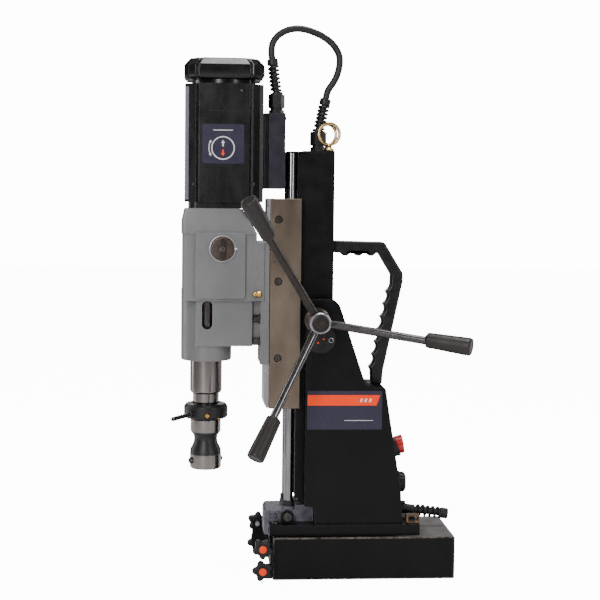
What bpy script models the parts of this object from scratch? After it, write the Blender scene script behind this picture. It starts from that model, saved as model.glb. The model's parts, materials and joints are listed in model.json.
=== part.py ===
"""Magnetic drill press: magnet base, stand, sliding carriage with gearbox and motor, capstan feed.

Metres, +Z up. The origin is the centre of the magnet's underside. The drill stands at -X, the control
panel faces +X, and the machine's own left side is -Y.
"""
import math

import bmesh
import bpy
from mathutils import Matrix, Vector

# Clearance between pieces that touch
GAP = 0.0003

# Magnet base
MAGNET_LENGTH = 0.260
MAGNET_WIDTH = 0.130
MAGNET_HEIGHT = 0.061
COIL_CENTRE_X = 0.062
COIL_OUTER = (0.055, 0.052)
COIL_INNER = (0.037, 0.034)
COIL_TOP = 0.040

# Stand
FLANGE_FRONT_X = -0.1345
FLANGE_REAR_X = 0.0805
FLANGE_HALF_WIDTH = 0.055
FLANGE_TOP = 0.0765
HOUSING_HALF_WIDTH = 0.050
HOUSING_FRONT_X = -0.085
HOUSING_TOP = 0.3975
HOUSING_STEP = 0.2722
HOUSING_WALL = 0.006
NOTCH_X = -0.070
NOTCH_TOP = 0.102
EAR_X = -0.1082
EAR_Y = (0.0338, 0.0400)
REAR_LINE = [(0.0292, 0.2722), (0.0535, 0.1217), (0.0558, 0.0765)]
PANEL_TOP = 0.258
PANEL_BOTTOM = 0.095
PANEL_HALF_WIDTH = 0.036
PANEL_THICKNESS = 0.004

# Rear controls
PANEL_NORMAL = Vector((0.9873, 0.0, 0.1594))
PANEL_UP = Vector((-0.1594, 0.0, 0.9873))
ESTOP_BASE = Vector((0.0440, 0.0, 0.1807))
KNOB_Z = 0.1275
KNOB_BOSS_X = 0.0549

# Star knobs at the front of the base
STAR_X = -0.1455
STAR_HEIGHTS = {"upper": 0.0506, "lower": 0.0191}
LUG_Y = (0.0723, 0.077)

# Column and guide rods
COLUMN_FRONT_X = -0.088
COLUMN_REAR_X = -0.045
COLUMN_HALF_WIDTH = 0.026
COLUMN_WALL = 0.005
COLUMN_TOP = 0.6032
COLUMN_SLOT_HALF = 0.012
RAIL_FRONT_X = -0.0975
RAIL_BOTTOM = 0.109
CAP_TOP = 0.6065
ROD_X = -0.1063
ROD_Y = 0.024
ROD_RADIUS = 0.00635
ROD_BOTTOM = 0.080
ROD_BASE_TOP = 0.0985
CASTING_FRONT_X = -0.1408
CASTING_HALF_WIDTH = 0.0315
CASTING_TOP = 0.0935
COLLAR_RADIUS = 0.0086
COLLAR_TOP = 0.1065
GLAND_X = -0.0668
EYE_X = -0.0525
EYE_Y = 0.013
EYE_Z = 0.631
EYE_TURN = math.radians(-40)

# Capstan feed
PINION_X = -0.0705
PINION_Z = 0.369
FEED_MODULE = 0.002
PINION_TEETH = 16
PINION_RADIUS = FEED_MODULE * PINION_TEETH / 2
SHAFT_RADIUS = 0.010
BUSH_RADIUS = 0.012
HUB_JUNCTION_Y = -0.095
LEVER_ANGLES = (122.4, 241.5, -7.6)
LEVER_TILT = math.radians(24.5)
LEVER_REACH = 0.2155
LEVER_RADIUS = 0.0056
GRIP_LENGTH = 0.062

# Carriage
SLIDE_FRONT_X = -0.137
SLIDE_BACK_X = -0.0982
SLIDE_HALF_WIDTH = 0.032
SLIDE_BOTTOM = 0.241
SLIDE_TOP = 0.5387
SIDE_PLATE_X = (-0.1365, -0.0922)
SIDE_PLATE_THICKNESS = 0.0087
SIDE_SCREW_X = -0.1245
SIDE_SCREW_Z = (0.3131, 0.4218, 0.509)
RACK_HALF_WIDTH = 0.009

# Gearbox, motor and spindle
SPINDLE_X = -0.225
MOTOR_X = -0.202
GEARBOX_TOP = 0.524
GEARBOX_FLANGE = 0.4898
GEARBOX_PANEL_BOTTOM = 0.3985
GEARBOX_SHELF = 0.330
GEARBOX_BOTTOM = 0.3075
GEARBOX_HALF_WIDTH = 0.046
GEARBOX_LEFT_X = -0.2602
QUILL_RADIUS = 0.0229
BEARING_BORE = 0.030
CAVITY_FLOOR = 0.412
SELECTOR_X = -0.2037
SELECTOR_Z = 0.468
MOTOR_TOP = 0.697
MOTOR_BORE = 0.044
CAP_BOTTOM = 0.704
CAP_HEIGHT = 0.029
BOX_X = (-0.1467, -0.139, -0.116)
BOX_HALF_WIDTH = 0.035
BOX_Z = (0.5525, 0.6582)

# Gear train: rotor pinion to layshaft, layshaft pinion to spindle
FAST_MODULE = 0.001
FAST_TEETH = (12, 30)
SLOW_MODULE = 0.0015
SLOW_TEETH = (12, 24)
FAST_Z = (0.495, 0.507)
SLOW_Z = (0.468, 0.484)

# Cable between the motor gland and the column gland
CABLE_RADIUS = 0.005
CABLE_POINTS = [
    (-0.13365, 0.0, 0.7364), (-0.1348, 0.0, 0.7449), (-0.1335, 0.0, 0.7578), (-0.1262, 0.0, 0.7691),
    (-0.1144, 0.0, 0.7767), (-0.1008, 0.0, 0.7799), (-0.0878, 0.0, 0.7791), (-0.0723, 0.0, 0.7745),
    (-0.0582, 0.0, 0.7673), (-0.0467, 0.0, 0.7580), (-0.0389, 0.0, 0.7456), (-0.0371, 0.0, 0.7329),
    (-0.0399, 0.0, 0.7178), (-0.0452, 0.0, 0.7060), (-0.0517, 0.0, 0.6965), (-0.0547, 0.0, 0.6900),
    (-0.0565, 0.0, 0.6816),
]
MOTOR_GLAND_X = -0.127
MOTOR_GLAND_TIP = (-0.1336, 0.0, 0.7360)
COLUMN_GLAND_TIP = (-0.0566, 0.0, 0.6812)


# ---------------------------------------------------------------- tools

def clear_scene():
    for obj in list(bpy.data.objects):
        bpy.data.objects.remove(obj, do_unlink=True)


def paint(name, colour, roughness, metallic=0.0):
    material = bpy.data.materials.new(name)
    material.use_nodes = True
    shader = material.node_tree.nodes["Principled BSDF"]
    shader.inputs["Base Color"].default_value = (*colour, 1.0)
    shader.inputs["Roughness"].default_value = roughness
    shader.inputs["Metallic"].default_value = metallic
    return material


def add_object(name, bm, material, smooth=False):
    bmesh.ops.recalc_face_normals(bm, faces=bm.faces)
    mesh = bpy.data.meshes.new(name)
    bm.to_mesh(mesh)
    bm.free()
    if smooth:
        mesh.shade_smooth()
        mesh.set_sharp_from_angle(angle=math.radians(35))
    obj = bpy.data.objects.new(name, mesh)
    if material:
        mesh.materials.append(material)
    bpy.context.scene.collection.objects.link(obj)
    return obj


def lift(point, height, axis):
    a, b = point
    if axis == "X":
        return (height, a, b)
    if axis == "Y":
        return (a, height, b)
    return (a, b, height)


def prism(name, outline, low, high, axis, material=None, smooth=False):
    """A closed solid: the outline drawn across the axis, extruded from low to high along it."""
    bm = bmesh.new()
    start = [bm.verts.new(lift(p, low, axis)) for p in outline]
    end = [bm.verts.new(lift(p, high, axis)) for p in outline]
    count = len(outline)
    bm.faces.new(start)
    bm.faces.new(list(reversed(end)))
    for i in range(count):
        j = (i + 1) % count
        bm.faces.new((start[i], start[j], end[j], end[i]))
    return add_object(name, bm, material, smooth)


def ring_prism(name, outer, inner, low, high, axis, material=None):
    """A frame-shaped solid between two outlines that have the same number of points."""
    bm = bmesh.new()
    loops = []
    for outline, height in ((outer, low), (outer, high), (inner, high), (inner, low)):
        loops.append([bm.verts.new(lift(p, height, axis)) for p in outline])
    count = len(outer)
    for first, second in zip(loops, loops[1:] + loops[:1]):
        for i in range(count):
            j = (i + 1) % count
            bm.faces.new((first[i], first[j], second[j], second[i]))
    return add_object(name, bm, material)


def box(name, low, high, material=None):
    outline = [(low[0], low[1]), (high[0], low[1]), (high[0], high[1]), (low[0], high[1])]
    return prism(name, outline, low[2], high[2], "Z", material)


def fillet(points, steps=4):
    """An outline from (x, y, radius) corners; a corner with no radius stays sharp."""
    result = []
    count = len(points)
    for i, corner in enumerate(points):
        here = Vector(corner[:2])
        radius = corner[2] if len(corner) > 2 else 0.0
        if radius <= 0.0:
            result.append(tuple(here))
            continue
        back = (Vector(points[i - 1][:2]) - here).normalized()
        ahead = (Vector(points[(i + 1) % count][:2]) - here).normalized()
        half = back.angle(ahead) / 2
        centre = here + (back + ahead).normalized() * (radius / math.sin(half))
        first = here + back * (radius / math.tan(half)) - centre
        last = here + ahead * (radius / math.tan(half)) - centre
        turn = first.angle_signed(last)
        for step in range(steps + 1):
            spin = Matrix.Rotation(-turn * step / steps, 2)
            result.append(tuple(centre + spin @ first))
    return result


def rounded_rectangle(half_a, half_b, radius, centre=(0.0, 0.0), steps=3):
    a, b = centre
    corners = [(a - half_a, b - half_b, radius), (a + half_a, b - half_b, radius),
               (a + half_a, b + half_b, radius), (a - half_a, b + half_b, radius)]
    return fillet(corners, steps)


def circle(radius, centre=(0.0, 0.0), count=20):
    turns = [2 * math.pi * i / count for i in range(count)]
    return [(centre[0] + radius * math.cos(t), centre[1] + radius * math.sin(t)) for t in turns]


def turned(name, profile, centre, axis, material=None, count=20, closed=False):
    """A turned solid: (radius, height) points along the axis; closed profiles make rings."""
    turn = Vector((0, 0, 1)).rotation_difference(Vector(axis)).to_matrix()
    bm = bmesh.new()
    rings = []
    for radius, height in profile:
        if radius == 0.0:
            rings.append([bm.verts.new(Vector(centre) + turn @ Vector((0, 0, height)))])
            continue
        ring = [turn @ Vector((x, y, height)) for x, y in circle(radius, count=count)]
        rings.append([bm.verts.new(Vector(centre) + p) for p in ring])
    pairs = list(zip(rings, rings[1:]))
    if closed:
        pairs.append((rings[-1], rings[0]))
    for first, second in pairs:
        for i in range(count):
            j = (i + 1) % count
            if len(first) == 1 and len(second) == 1:
                continue
            if len(first) == 1:
                bm.faces.new((first[0], second[j], second[i]))
            elif len(second) == 1:
                bm.faces.new((first[i], first[j], second[0]))
            else:
                bm.faces.new((first[i], first[j], second[j], second[i]))
    if not closed:
        for ring in (rings[0], rings[-1]):
            if len(ring) > 1:
                bm.faces.new(ring)
    return add_object(name, bm, material, smooth=True)


def rod(name, radius, start, end, material=None, count=16):
    start, end = Vector(start), Vector(end)
    length = (end - start).length
    return turned(name, [(radius, 0.0), (radius, length)], start, end - start, material, count)


def as_tool(obj):
    obj.hide_render = True
    obj.display_type = "WIRE"


def combine(target, tools, operation):
    for tool in tools:
        modifier = target.modifiers.new(operation.lower(), "BOOLEAN")
        modifier.operation = operation
        modifier.solver = "EXACT"
        modifier.object = tool
        as_tool(tool)
    return target


def cut(target, *tools):
    return combine(target, tools, "DIFFERENCE")


def fuse(target, *tools):
    return combine(target, tools, "UNION")


def bevel(obj, width, segments=1, angle=50):
    modifier = obj.modifiers.new("edge", "BEVEL")
    modifier.width = width
    modifier.segments = segments
    modifier.limit_method = "ANGLE"
    modifier.angle_limit = math.radians(angle)
    return obj


def pivot(name, place):
    """An empty on a joint's axis, which carries the pieces that move about it."""
    empty = bpy.data.objects.new(name, None)
    empty.location = place
    bpy.context.scene.collection.objects.link(empty)
    return empty


def carry(empty, *pieces):
    for piece in pieces:
        piece.parent = empty
        piece.matrix_parent_inverse = Matrix.Translation(empty.location).inverted()


def gear_outline(module, teeth, centre=(0.0, 0.0), phase=0.0):
    """Spur gear outline: straight-flanked teeth with backlash; a tooth points at the phase angle."""
    pitch = 2 * math.pi / teeth
    radius = module * teeth / 2
    root, tip = radius - 1.2 * module, radius + 0.85 * module
    shape = [(-0.27, root), (-0.11, tip), (0.11, tip), (0.27, root)]
    outline = []
    for tooth in range(teeth):
        for offset, r in shape:
            angle = phase + (tooth + offset) * pitch
            outline.append((centre[0] + r * math.cos(angle), centre[1] + r * math.sin(angle)))
    return outline


def rear_x(z):
    """The housing's rear face at a height."""
    for (x0, z0), (x1, z1) in zip(REAR_LINE, REAR_LINE[1:]):
        if z >= z1:
            return x0 + (x1 - x0) * (z0 - z) / (z0 - z1)
    return REAR_LINE[-1][0]


# ---------------------------------------------------------------- materials

def make_materials():
    return {
        "black": paint("black_paint", (0.012, 0.012, 0.013), 0.42),
        "magnet": paint("blackened_steel", (0.014, 0.014, 0.014), 0.5, 0.2),
        "grey": paint("grey_paint", (0.27, 0.275, 0.28), 0.45),
        "violet": paint("casting_grey", (0.09, 0.085, 0.11), 0.55),
        "plate": paint("burnished_plate", (0.13, 0.095, 0.065), 0.38, 0.8),
        "steel": paint("bright_steel", (0.46, 0.44, 0.42), 0.28, 1.0),
        "chrome": paint("chromed_rod", (0.6, 0.6, 0.61), 0.12, 1.0),
        "dark_steel": paint("dark_steel", (0.09, 0.08, 0.075), 0.35, 0.9),
        "zinc": paint("yellow_zinc", (0.62, 0.43, 0.17), 0.3, 1.0),
        "plastic": paint("black_plastic", (0.02, 0.02, 0.021), 0.5),
        "grip": paint("grip_plastic", (0.045, 0.038, 0.036), 0.5),
        "cable": paint("cable_rubber", (0.016, 0.016, 0.017), 0.55),
        "red": paint("red_plastic", (0.62, 0.02, 0.02), 0.35),
        "copper": paint("coil_copper", (0.50, 0.20, 0.09), 0.4, 0.9),
        "board": paint("circuit_board", (0.02, 0.13, 0.05), 0.5),
        "bronze": paint("bronze", (0.45, 0.27, 0.10), 0.35, 0.9),
    }


# ---------------------------------------------------------------- base and stand

def build_magnet(mat):
    half_length, half_width = MAGNET_LENGTH / 2, MAGNET_WIDTH / 2
    block = box("magnet_block", (-half_length, -half_width, 0.0),
                (half_length, half_width, MAGNET_HEIGHT), mat["magnet"])
    bevel(block, 0.0012)
    for name, x in (("magnet_coil_front", -COIL_CENTRE_X), ("magnet_coil_rear", COIL_CENTRE_X)):
        outer = rounded_rectangle(*COIL_OUTER, 0.020, (x, 0.0), 3)
        inner = rounded_rectangle(*COIL_INNER, 0.008, (x, 0.0), 3)
        cut(block, ring_prism(name + "_groove", outer, inner, -0.01, COIL_TOP + GAP, "Z"))
        outer = rounded_rectangle(COIL_OUTER[0] - GAP, COIL_OUTER[1] - GAP, 0.020 - GAP, (x, 0.0), 3)
        inner = rounded_rectangle(COIL_INNER[0] + GAP, COIL_INNER[1] + GAP, 0.008 + GAP, (x, 0.0), 3)
        ring_prism(name, outer, inner, 0.0006, COIL_TOP, "Z", mat["copper"])


def housing_outline():
    corners = [
        (NOTCH_X, FLANGE_TOP - 0.008), (NOTCH_X, NOTCH_TOP, 0.009), (HOUSING_FRONT_X, NOTCH_TOP),
        (HOUSING_FRONT_X, HOUSING_TOP, 0.0015), (-0.0403, HOUSING_TOP, 0.016),
        (0.0021, HOUSING_STEP, 0.014), (0.0292, HOUSING_STEP, 0.003),
        (0.0535, 0.1217), (0.0558, FLANGE_TOP), (0.0558, FLANGE_TOP - 0.008),
    ]
    return fillet(corners)


def housing_cavity():
    wall = HOUSING_WALL
    return [
        (NOTCH_X + wall, 0.05), (NOTCH_X + wall, NOTCH_TOP + wall), (HOUSING_FRONT_X + wall, NOTCH_TOP + wall),
        (HOUSING_FRONT_X + wall, HOUSING_TOP - wall), (-0.0446, HOUSING_TOP - wall),
        (-0.0022, HOUSING_STEP - wall), (0.0292 - wall, HOUSING_STEP - wall),
        (0.0535 - wall, 0.1217), (0.0558 - wall, 0.05),
    ]


def build_housing(mat):
    inner = HOUSING_HALF_WIDTH - HOUSING_WALL
    housing = prism("stand_housing", housing_outline(), -HOUSING_HALF_WIDTH, HOUSING_HALF_WIDTH, "Y",
                    mat["black"])
    flange = box("flange", (FLANGE_FRONT_X, -FLANGE_HALF_WIDTH, MAGNET_HEIGHT + GAP),
                 (FLANGE_REAR_X, FLANGE_HALF_WIDTH, FLANGE_TOP))
    lip = box("flange_lip", (FLANGE_FRONT_X, -0.050, 0.056),
              (-MAGNET_LENGTH / 2 - GAP, 0.050, FLANGE_TOP - 0.001))
    ears = []
    for side in (-1, 1):
        near, far = sorted((side * EAR_Y[0], side * EAR_Y[1]))
        outline = fillet([(EAR_X - 0.0090, 0.070), (EAR_X + 0.0090, 0.070), (EAR_X + 0.0090, 0.0945, 0.0086),
                          (EAR_X - 0.0090, 0.0945, 0.0086)], 4)
        ears.append(prism("ear", outline, near, far, "Y"))
    fuse(housing, flange, lip, *ears)
    cavity = prism("cavity", housing_cavity(), -inner, inner, "Y")
    passage = box("column_passage", (COLUMN_FRONT_X - GAP, -COLUMN_HALF_WIDTH - GAP, 0.04),
                  (COLUMN_REAR_X + GAP, COLUMN_HALF_WIDTH + GAP, 0.42))
    window = box("panel_window", (0.010, -PANEL_HALF_WIDTH - GAP, PANEL_BOTTOM - GAP),
                 (0.080, PANEL_HALF_WIDTH + GAP, PANEL_TOP + GAP))
    bores = rod("bush_bores", BUSH_RADIUS + GAP, (PINION_X, -0.06, PINION_Z),
                (PINION_X, 0.06, PINION_Z), count=24)
    gland_hole = rod("gland_hole", 0.0050, (0.040, 0.0, 0.0895), (0.070, 0.0, 0.0895), count=16)
    cut(housing, cavity, passage, window, bores, gland_hole)


def build_control_panel(mat):
    heights = (PANEL_TOP, REAR_LINE[1][1], PANEL_BOTTOM)
    outer = [(rear_x(z), z) for z in heights]
    inner = [(x - PANEL_THICKNESS, z) for x, z in reversed(outer)]
    panel = prism("control_panel", outer + inner, -PANEL_HALF_WIDTH, PANEL_HALF_WIDTH, "Y", mat["black"])
    knob_hole = rod("knob_hole", 0.0045, (0.030, 0.0, KNOB_Z), (0.080, 0.0, KNOB_Z), count=16)
    button_hole = rod("button_hole", 0.0064, ESTOP_BASE - PANEL_NORMAL * 0.020,
                      ESTOP_BASE + PANEL_NORMAL * 0.010)
    fuse(panel, rod("knob_boss", 0.0166, (0.0490, 0.0, KNOB_Z), (KNOB_BOSS_X, 0.0, KNOB_Z), count=32))
    cut(panel, knob_hole, button_hole)
    board = box("control_board", (0.006, -0.032, 0.125), (0.0078, 0.032, 0.245), mat["board"])
    parts = []
    for i, (y, z, size, depth) in enumerate(((-0.016, 0.150, 0.012, 0.022), (0.014, 0.152, 0.010, 0.015),
                                             (-0.012, 0.195, 0.011, 0.014), (0.012, 0.215, 0.013, 0.010))):
        parts.append(box("component_%d" % i, (0.007 - depth, y - size, z - size),
                         (0.007, y + size, z + size)))
    fuse(board, *parts)


def on_panel(height, up):
    """A point of the panel's middle section: height off the panel, and distance up it from the button."""
    place = ESTOP_BASE + PANEL_NORMAL * height + PANEL_UP * up
    return (place.x, place.z)


def build_rear_controls(mat):
    collar = turned("estop_collar", [(0.0141, GAP), (0.0172, GAP), (0.0164, 0.0150), (0.0141, 0.0150)],
                    ESTOP_BASE, PANEL_NORMAL, mat["plastic"], 24, closed=True)
    cut(collar, prism("slanted_face", [on_panel(0.0032, 0.020), on_panel(0.0148, -0.020), on_panel(0.03, -0.020),
                                       on_panel(0.03, 0.020)], -0.03, 0.03, "Y"))
    button = turned("estop_button", [(0.0058, -0.0042), (0.0058, 0.0045), (0.0118, 0.0045), (0.0138, 0.0175),
                                     (0.0130, 0.0188), (0.0, 0.0195)], ESTOP_BASE, PANEL_NORMAL, mat["red"], 24)
    carry(pivot("estop_axis", ESTOP_BASE), button)
    knob_base = Vector((KNOB_BOSS_X + GAP, 0.0, KNOB_Z))
    knob = turned("rotary_knob", [(0.0164, 0.0), (0.0164, 0.0022), (0.0148, 0.0034), (0.0148, 0.0085),
                                  (0.0122, 0.0114), (0.0, 0.0114)], knob_base, (1, 0, 0), mat["plastic"], 24)
    spindle = rod("knob_spindle", 0.0030, knob_base - Vector((0.012, 0, 0)), knob_base + Vector((0.004, 0, 0)),
                  count=12)
    fuse(knob, spindle)
    carry(pivot("rotary_knob_axis", knob_base), knob)
    build_mains_gland(mat)


def relief_profile(start, end, root, crest, rings):
    """A bend protector's outline: ridges that stand in for its open spiral."""
    profile = []
    pitch = (end - start) / rings
    for i in range(rings):
        at = start + i * pitch
        profile += [(root, at), (crest, at + 0.5 * pitch)]
    profile.append((root, end))
    return profile


def build_mains_gland(mat):
    slope = math.radians(-7.3)
    axis = Vector((math.cos(slope), 0.0, math.sin(slope)))
    profile = [(0.0, -0.010), (0.0042, -0.010), (0.0042, 0.0), (0.0092, 0.0), (0.0092, 0.0050),
               (0.0071, 0.0056), (0.0071, 0.0230)]
    profile += relief_profile(0.0270, 0.0620, 0.0056, 0.0088, 5)
    profile += [(0.0080, 0.0628), (0.0078, 0.0727), (0.0072, 0.0733), (0.0038, 0.0733), (0.0038, 0.053),
                (0.0, 0.053)]
    turned("mains_gland", profile, (0.0576, 0.0, 0.0889), axis, mat["plastic"], count=12)


def build_column(mat):
    outer = COLUMN_HALF_WIDTH
    wall = COLUMN_WALL
    slot = COLUMN_SLOT_HALF
    front, rear = COLUMN_FRONT_X, COLUMN_REAR_X
    half = [(rear, outer), (front, outer), (front, slot), (front + wall, slot),
            (front + wall, outer - wall), (rear - wall, outer - wall)]
    outline = half + [(x, -y) for x, y in reversed(half)]
    column = prism("column", outline, MAGNET_HEIGHT + GAP, COLUMN_TOP, "Z", mat["black"])
    rails = []
    for side in (-1, 1):
        low, high = sorted((side * slot, side * outer))
        rails.append(box("rail", (RAIL_FRONT_X, low, RAIL_BOTTOM), (front + 0.002, high, COLUMN_TOP)))
    fuse(column, *rails)
    cut(column, rod("shaft_holes", SHAFT_RADIUS + 0.001, (PINION_X, -0.04, PINION_Z),
                    (PINION_X, 0.04, PINION_Z), count=24))


def build_column_cap(mat):
    cap = box("column_cap", (COLUMN_FRONT_X - 0.002, -COLUMN_HALF_WIDTH, COLUMN_TOP + GAP),
              (COLUMN_REAR_X, COLUMN_HALF_WIDTH, CAP_TOP), mat["black"])
    tongue = prism("cap_tongue", fillet([(-0.1135, -0.031, 0.004), (-0.085, -0.031), (-0.085, 0.031),
                                         (-0.1135, 0.031, 0.004)], 3), COLUMN_TOP + GAP, 0.6052, "Z")
    fuse(cap, tongue)
    holes = [rod("gland_hole", 0.0085, (GLAND_X, 0.0, 0.59), (GLAND_X, 0.0, 0.62), count=20)]
    for side in (-1, 1):
        holes.append(rod("eye_hole", 0.0043, (EYE_X, side * EYE_Y, 0.59), (EYE_X, side * EYE_Y, 0.62), count=14))
    cut(cap, *holes)


def build_eye_bolt(name, side, turned_by, mat):
    y = side * EYE_Y
    across = Vector((math.cos(turned_by), math.sin(turned_by), 0.0))
    level = Vector((-across.y, across.x, 0.0))
    major, minor, turns, sides = 0.015, 0.0023, 20, 6
    bm = bmesh.new()
    rings = []
    for i in range(turns):
        a = 2 * math.pi * i / turns
        ring = []
        for u, v in circle(minor, count=sides):
            reach = major + u
            place = Vector((EYE_X, y, EYE_Z)) + across * (reach * math.cos(a)) + level * v
            ring.append(bm.verts.new(place + Vector((0.0, 0.0, reach * math.sin(a)))))
        rings.append(ring)
    for first, second in zip(rings, rings[1:] + rings[:1]):
        for i in range(sides):
            j = (i + 1) % sides
            bm.faces.new((first[i], first[j], second[j], second[i]))
    eye = add_object(name, bm, mat["zinc"], smooth=True)
    base = CAP_TOP + GAP
    foot = turned("eye_foot", [(0.0040, -0.003), (0.0040, 0.0), (0.0078, 0.0), (0.0078, 0.0022),
                               (0.0052, 0.0045), (0.0030, 0.0100)],
                  (EYE_X, y, base), (0, 0, 1), count=10)
    fuse(eye, foot)


def build_gland(name, place, top, tip, mat):
    """Cable gland standing on a flat: hexagon, neck, hexagon nut, then the leaning bend protector."""
    x, y, z = place
    gland = prism(name, circle(0.0112, (x, y), 6), z + GAP, z + 0.0062, "Z", mat["plastic"])
    nut = prism("nut", circle(0.0118, (x, y), 6), z + 0.0085, top, "Z")
    neck = turned("neck", [(0.0078, -0.004), (0.0078, 0.020)], (x, y, z), (0, 0, 1), count=12)
    start = Vector((x, y, top - 0.001))
    axis = Vector(tip) - start
    length = axis.length
    cap = 0.0085
    profile = [(0.0086, 0.0)] + relief_profile(0.001, length - cap, 0.0056, 0.0080, 6)
    profile += [(0.0072, length - cap + 0.0005), (0.0078, length - 0.001), (0.0070, length)]
    relief = turned("relief", profile, start, axis, count=12)
    fuse(gland, neck, nut, relief)
    return gland


def build_cable(mat):
    """The cable's tube follows a smooth curve through its route's points."""
    route = [Vector(p) for p in CABLE_POINTS]
    padded = [2 * route[0] - route[1]] + route + [2 * route[-1] - route[-2]]
    points = []
    for i in range(len(route) - 1):
        a, b, c, d = padded[i:i + 4]
        for step in range(2):
            t = step / 2
            points.append(0.5 * (2 * b + (c - a) * t + (2 * a - 5 * b + 4 * c - d) * t * t
                                 + (3 * b - a - 3 * c + d) * t ** 3))
    points.append(route[-1])
    curve = bpy.data.curves.new("motor_cable", "CURVE")
    curve.dimensions = "3D"
    curve.bevel_depth = CABLE_RADIUS
    curve.bevel_resolution = 2
    curve.use_fill_caps = True
    curve.render_resolution_u = 0
    spline = curve.splines.new("POLY")
    spline.points.add(len(points) - 1)
    for slot, point in zip(spline.points, points):
        slot.co = (*point, 1.0)
    curve.materials.append(mat["cable"])
    bpy.context.scene.collection.objects.link(bpy.data.objects.new("motor_cable", curve))


def build_guides(mat):
    for side, tag in ((-1, "left"), (1, "right")):
        y = side * ROD_Y
        rod("guide_rod_" + tag, ROD_RADIUS, (ROD_X, y, ROD_BOTTOM), (ROD_X, y, COLUMN_TOP), mat["chrome"], 16)
        bore = ROD_RADIUS + GAP
        turned("rod_collar_" + tag, [(bore, ROD_BASE_TOP + GAP), (COLLAR_RADIUS, ROD_BASE_TOP + GAP),
                                     (COLLAR_RADIUS, COLLAR_TOP - 0.001), (COLLAR_RADIUS - 0.001, COLLAR_TOP),
                                     (bore, COLLAR_TOP)], (ROD_X, y, 0.0), (0, 0, 1), mat["plastic"],
               16, closed=True)
    build_rod_base(mat)


def build_rod_base(mat):
    """The casting that holds the rods' feet, with a boss at each rod and a low wall round the column."""
    low = FLANGE_TOP + GAP
    lip_x = FLANGE_FRONT_X - GAP
    outline = fillet([(CASTING_FRONT_X, 0.058), (lip_x, 0.058), (lip_x, low), (NOTCH_X - 0.0007, low),
                      (NOTCH_X - 0.0007, 0.1005, 0.008), (-0.0970, 0.1005, 0.002), (-0.0970, CASTING_TOP),
                      (CASTING_FRONT_X, CASTING_TOP, 0.006)])
    half = CASTING_HALF_WIDTH
    base = prism("rod_base", outline, -half, half, "Y", mat["violet"])
    bosses, cuts = [], []
    for side in (-1, 1):
        y = side * ROD_Y
        bosses.append(turned("boss", [(0.0095, low), (0.0095, ROD_BASE_TOP - 0.001), (0.0085, ROD_BASE_TOP)],
                             (ROD_X, y, 0.0), (0, 0, 1), count=20))
        cuts.append(rod("rod_socket", ROD_RADIUS + GAP, (ROD_X, y, ROD_BOTTOM - GAP), (ROD_X, y, 0.12), count=16))
        near, far = sorted((side * (half - 0.005), side * 0.06))
        pocket = fillet([(-0.134, 0.080, 0.003), (-0.119, 0.080, 0.003), (-0.122, 0.090, 0.003),
                         (-0.134, 0.090, 0.003)], 3)
        cuts.append(prism("side_pocket", pocket, near, far, "Y"))
        corner = [(CASTING_FRONT_X - 0.001, side * (half + 0.001)), (CASTING_FRONT_X - 0.001, side * (half - 0.005)),
                  (CASTING_FRONT_X + 0.0012, side * (half - 0.0024)), (CASTING_FRONT_X + 0.006, side * half),
                  (CASTING_FRONT_X + 0.006, side * (half + 0.001))]
        cuts.append(prism("front_corner", corner, 0.05, 0.12, "Z"))
    cuts.append(box("column_seat", (COLUMN_FRONT_X - GAP, -COLUMN_HALF_WIDTH - GAP, 0.05),
                    (-0.05, COLUMN_HALF_WIDTH + GAP, 0.12)))
    fuse(base, *bosses)
    cut(base, *cuts)


# ---------------------------------------------------------------- handle and base fittings

def handle_outline():
    """Outer edge, foot, then the inner edge with its finger bumps, back to the column."""
    outer = [(-0.0447, 0.4796), (0.0300, 0.4782, 0.008), (0.0577, 0.4330, 0.008), (0.0577, 0.4215, 0.012),
             (0.0309, 0.2928), (0.0294, HOUSING_STEP + GAP)]
    foot = [(0.0137, HOUSING_STEP + GAP)]
    bumps = []
    count, low, high = 7, (0.0093, 0.297), (0.0325, 0.407)
    steps = 4
    for i in range((count - 1) * steps + 1 + steps):
        t = (i - steps / 2) / ((count - 1) * steps)
        swell = 0.5 + 0.5 * math.cos(2 * math.pi * (i - steps / 2) / steps)
        x = low[0] + (high[0] - low[0]) * t + 0.0050 * (1 - swell)
        bumps.append((x, low[1] + (high[1] - low[1]) * t))
    corner = [(0.0404, 0.4305, 0.008), (0.0218, 0.4612, 0.006)]
    bar = []
    for peak in (0.0112, -0.0075, -0.0263):
        bar += [(peak + 0.0075, 0.4622), (peak + 0.003, 0.4575), (peak - 0.003, 0.4575), (peak - 0.0075, 0.4622)]
    return fillet(outer + foot + bumps + corner + bar + [(-0.0447, 0.4622)], 4)


def build_handle(mat):
    handle = prism("carry_handle", handle_outline(), -0.0105, 0.0105, "Y", mat["plastic"])
    bevel(handle, 0.003, 1, 60)


def build_strap_lug(mat):
    outer = rounded_rectangle(0.0095, 0.0062, 0.002, (0.0715, 0.0832), 2)
    inner = rounded_rectangle(0.0070, 0.0037, 0.001, (0.0715, 0.0832), 2)
    ring_prism("strap_lug", outer, inner, -0.050, -0.038, "Y", mat["bronze"])


def star_outline(radius, depth, centre):
    points = []
    for i in range(30):
        turn = 2 * math.pi * i / 30
        r = radius - depth * 0.5 * (1 - math.cos(5 * turn + math.pi))
        points.append((centre[0] + r * math.sin(turn), centre[1] + r * math.cos(turn)))
    return points


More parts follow.
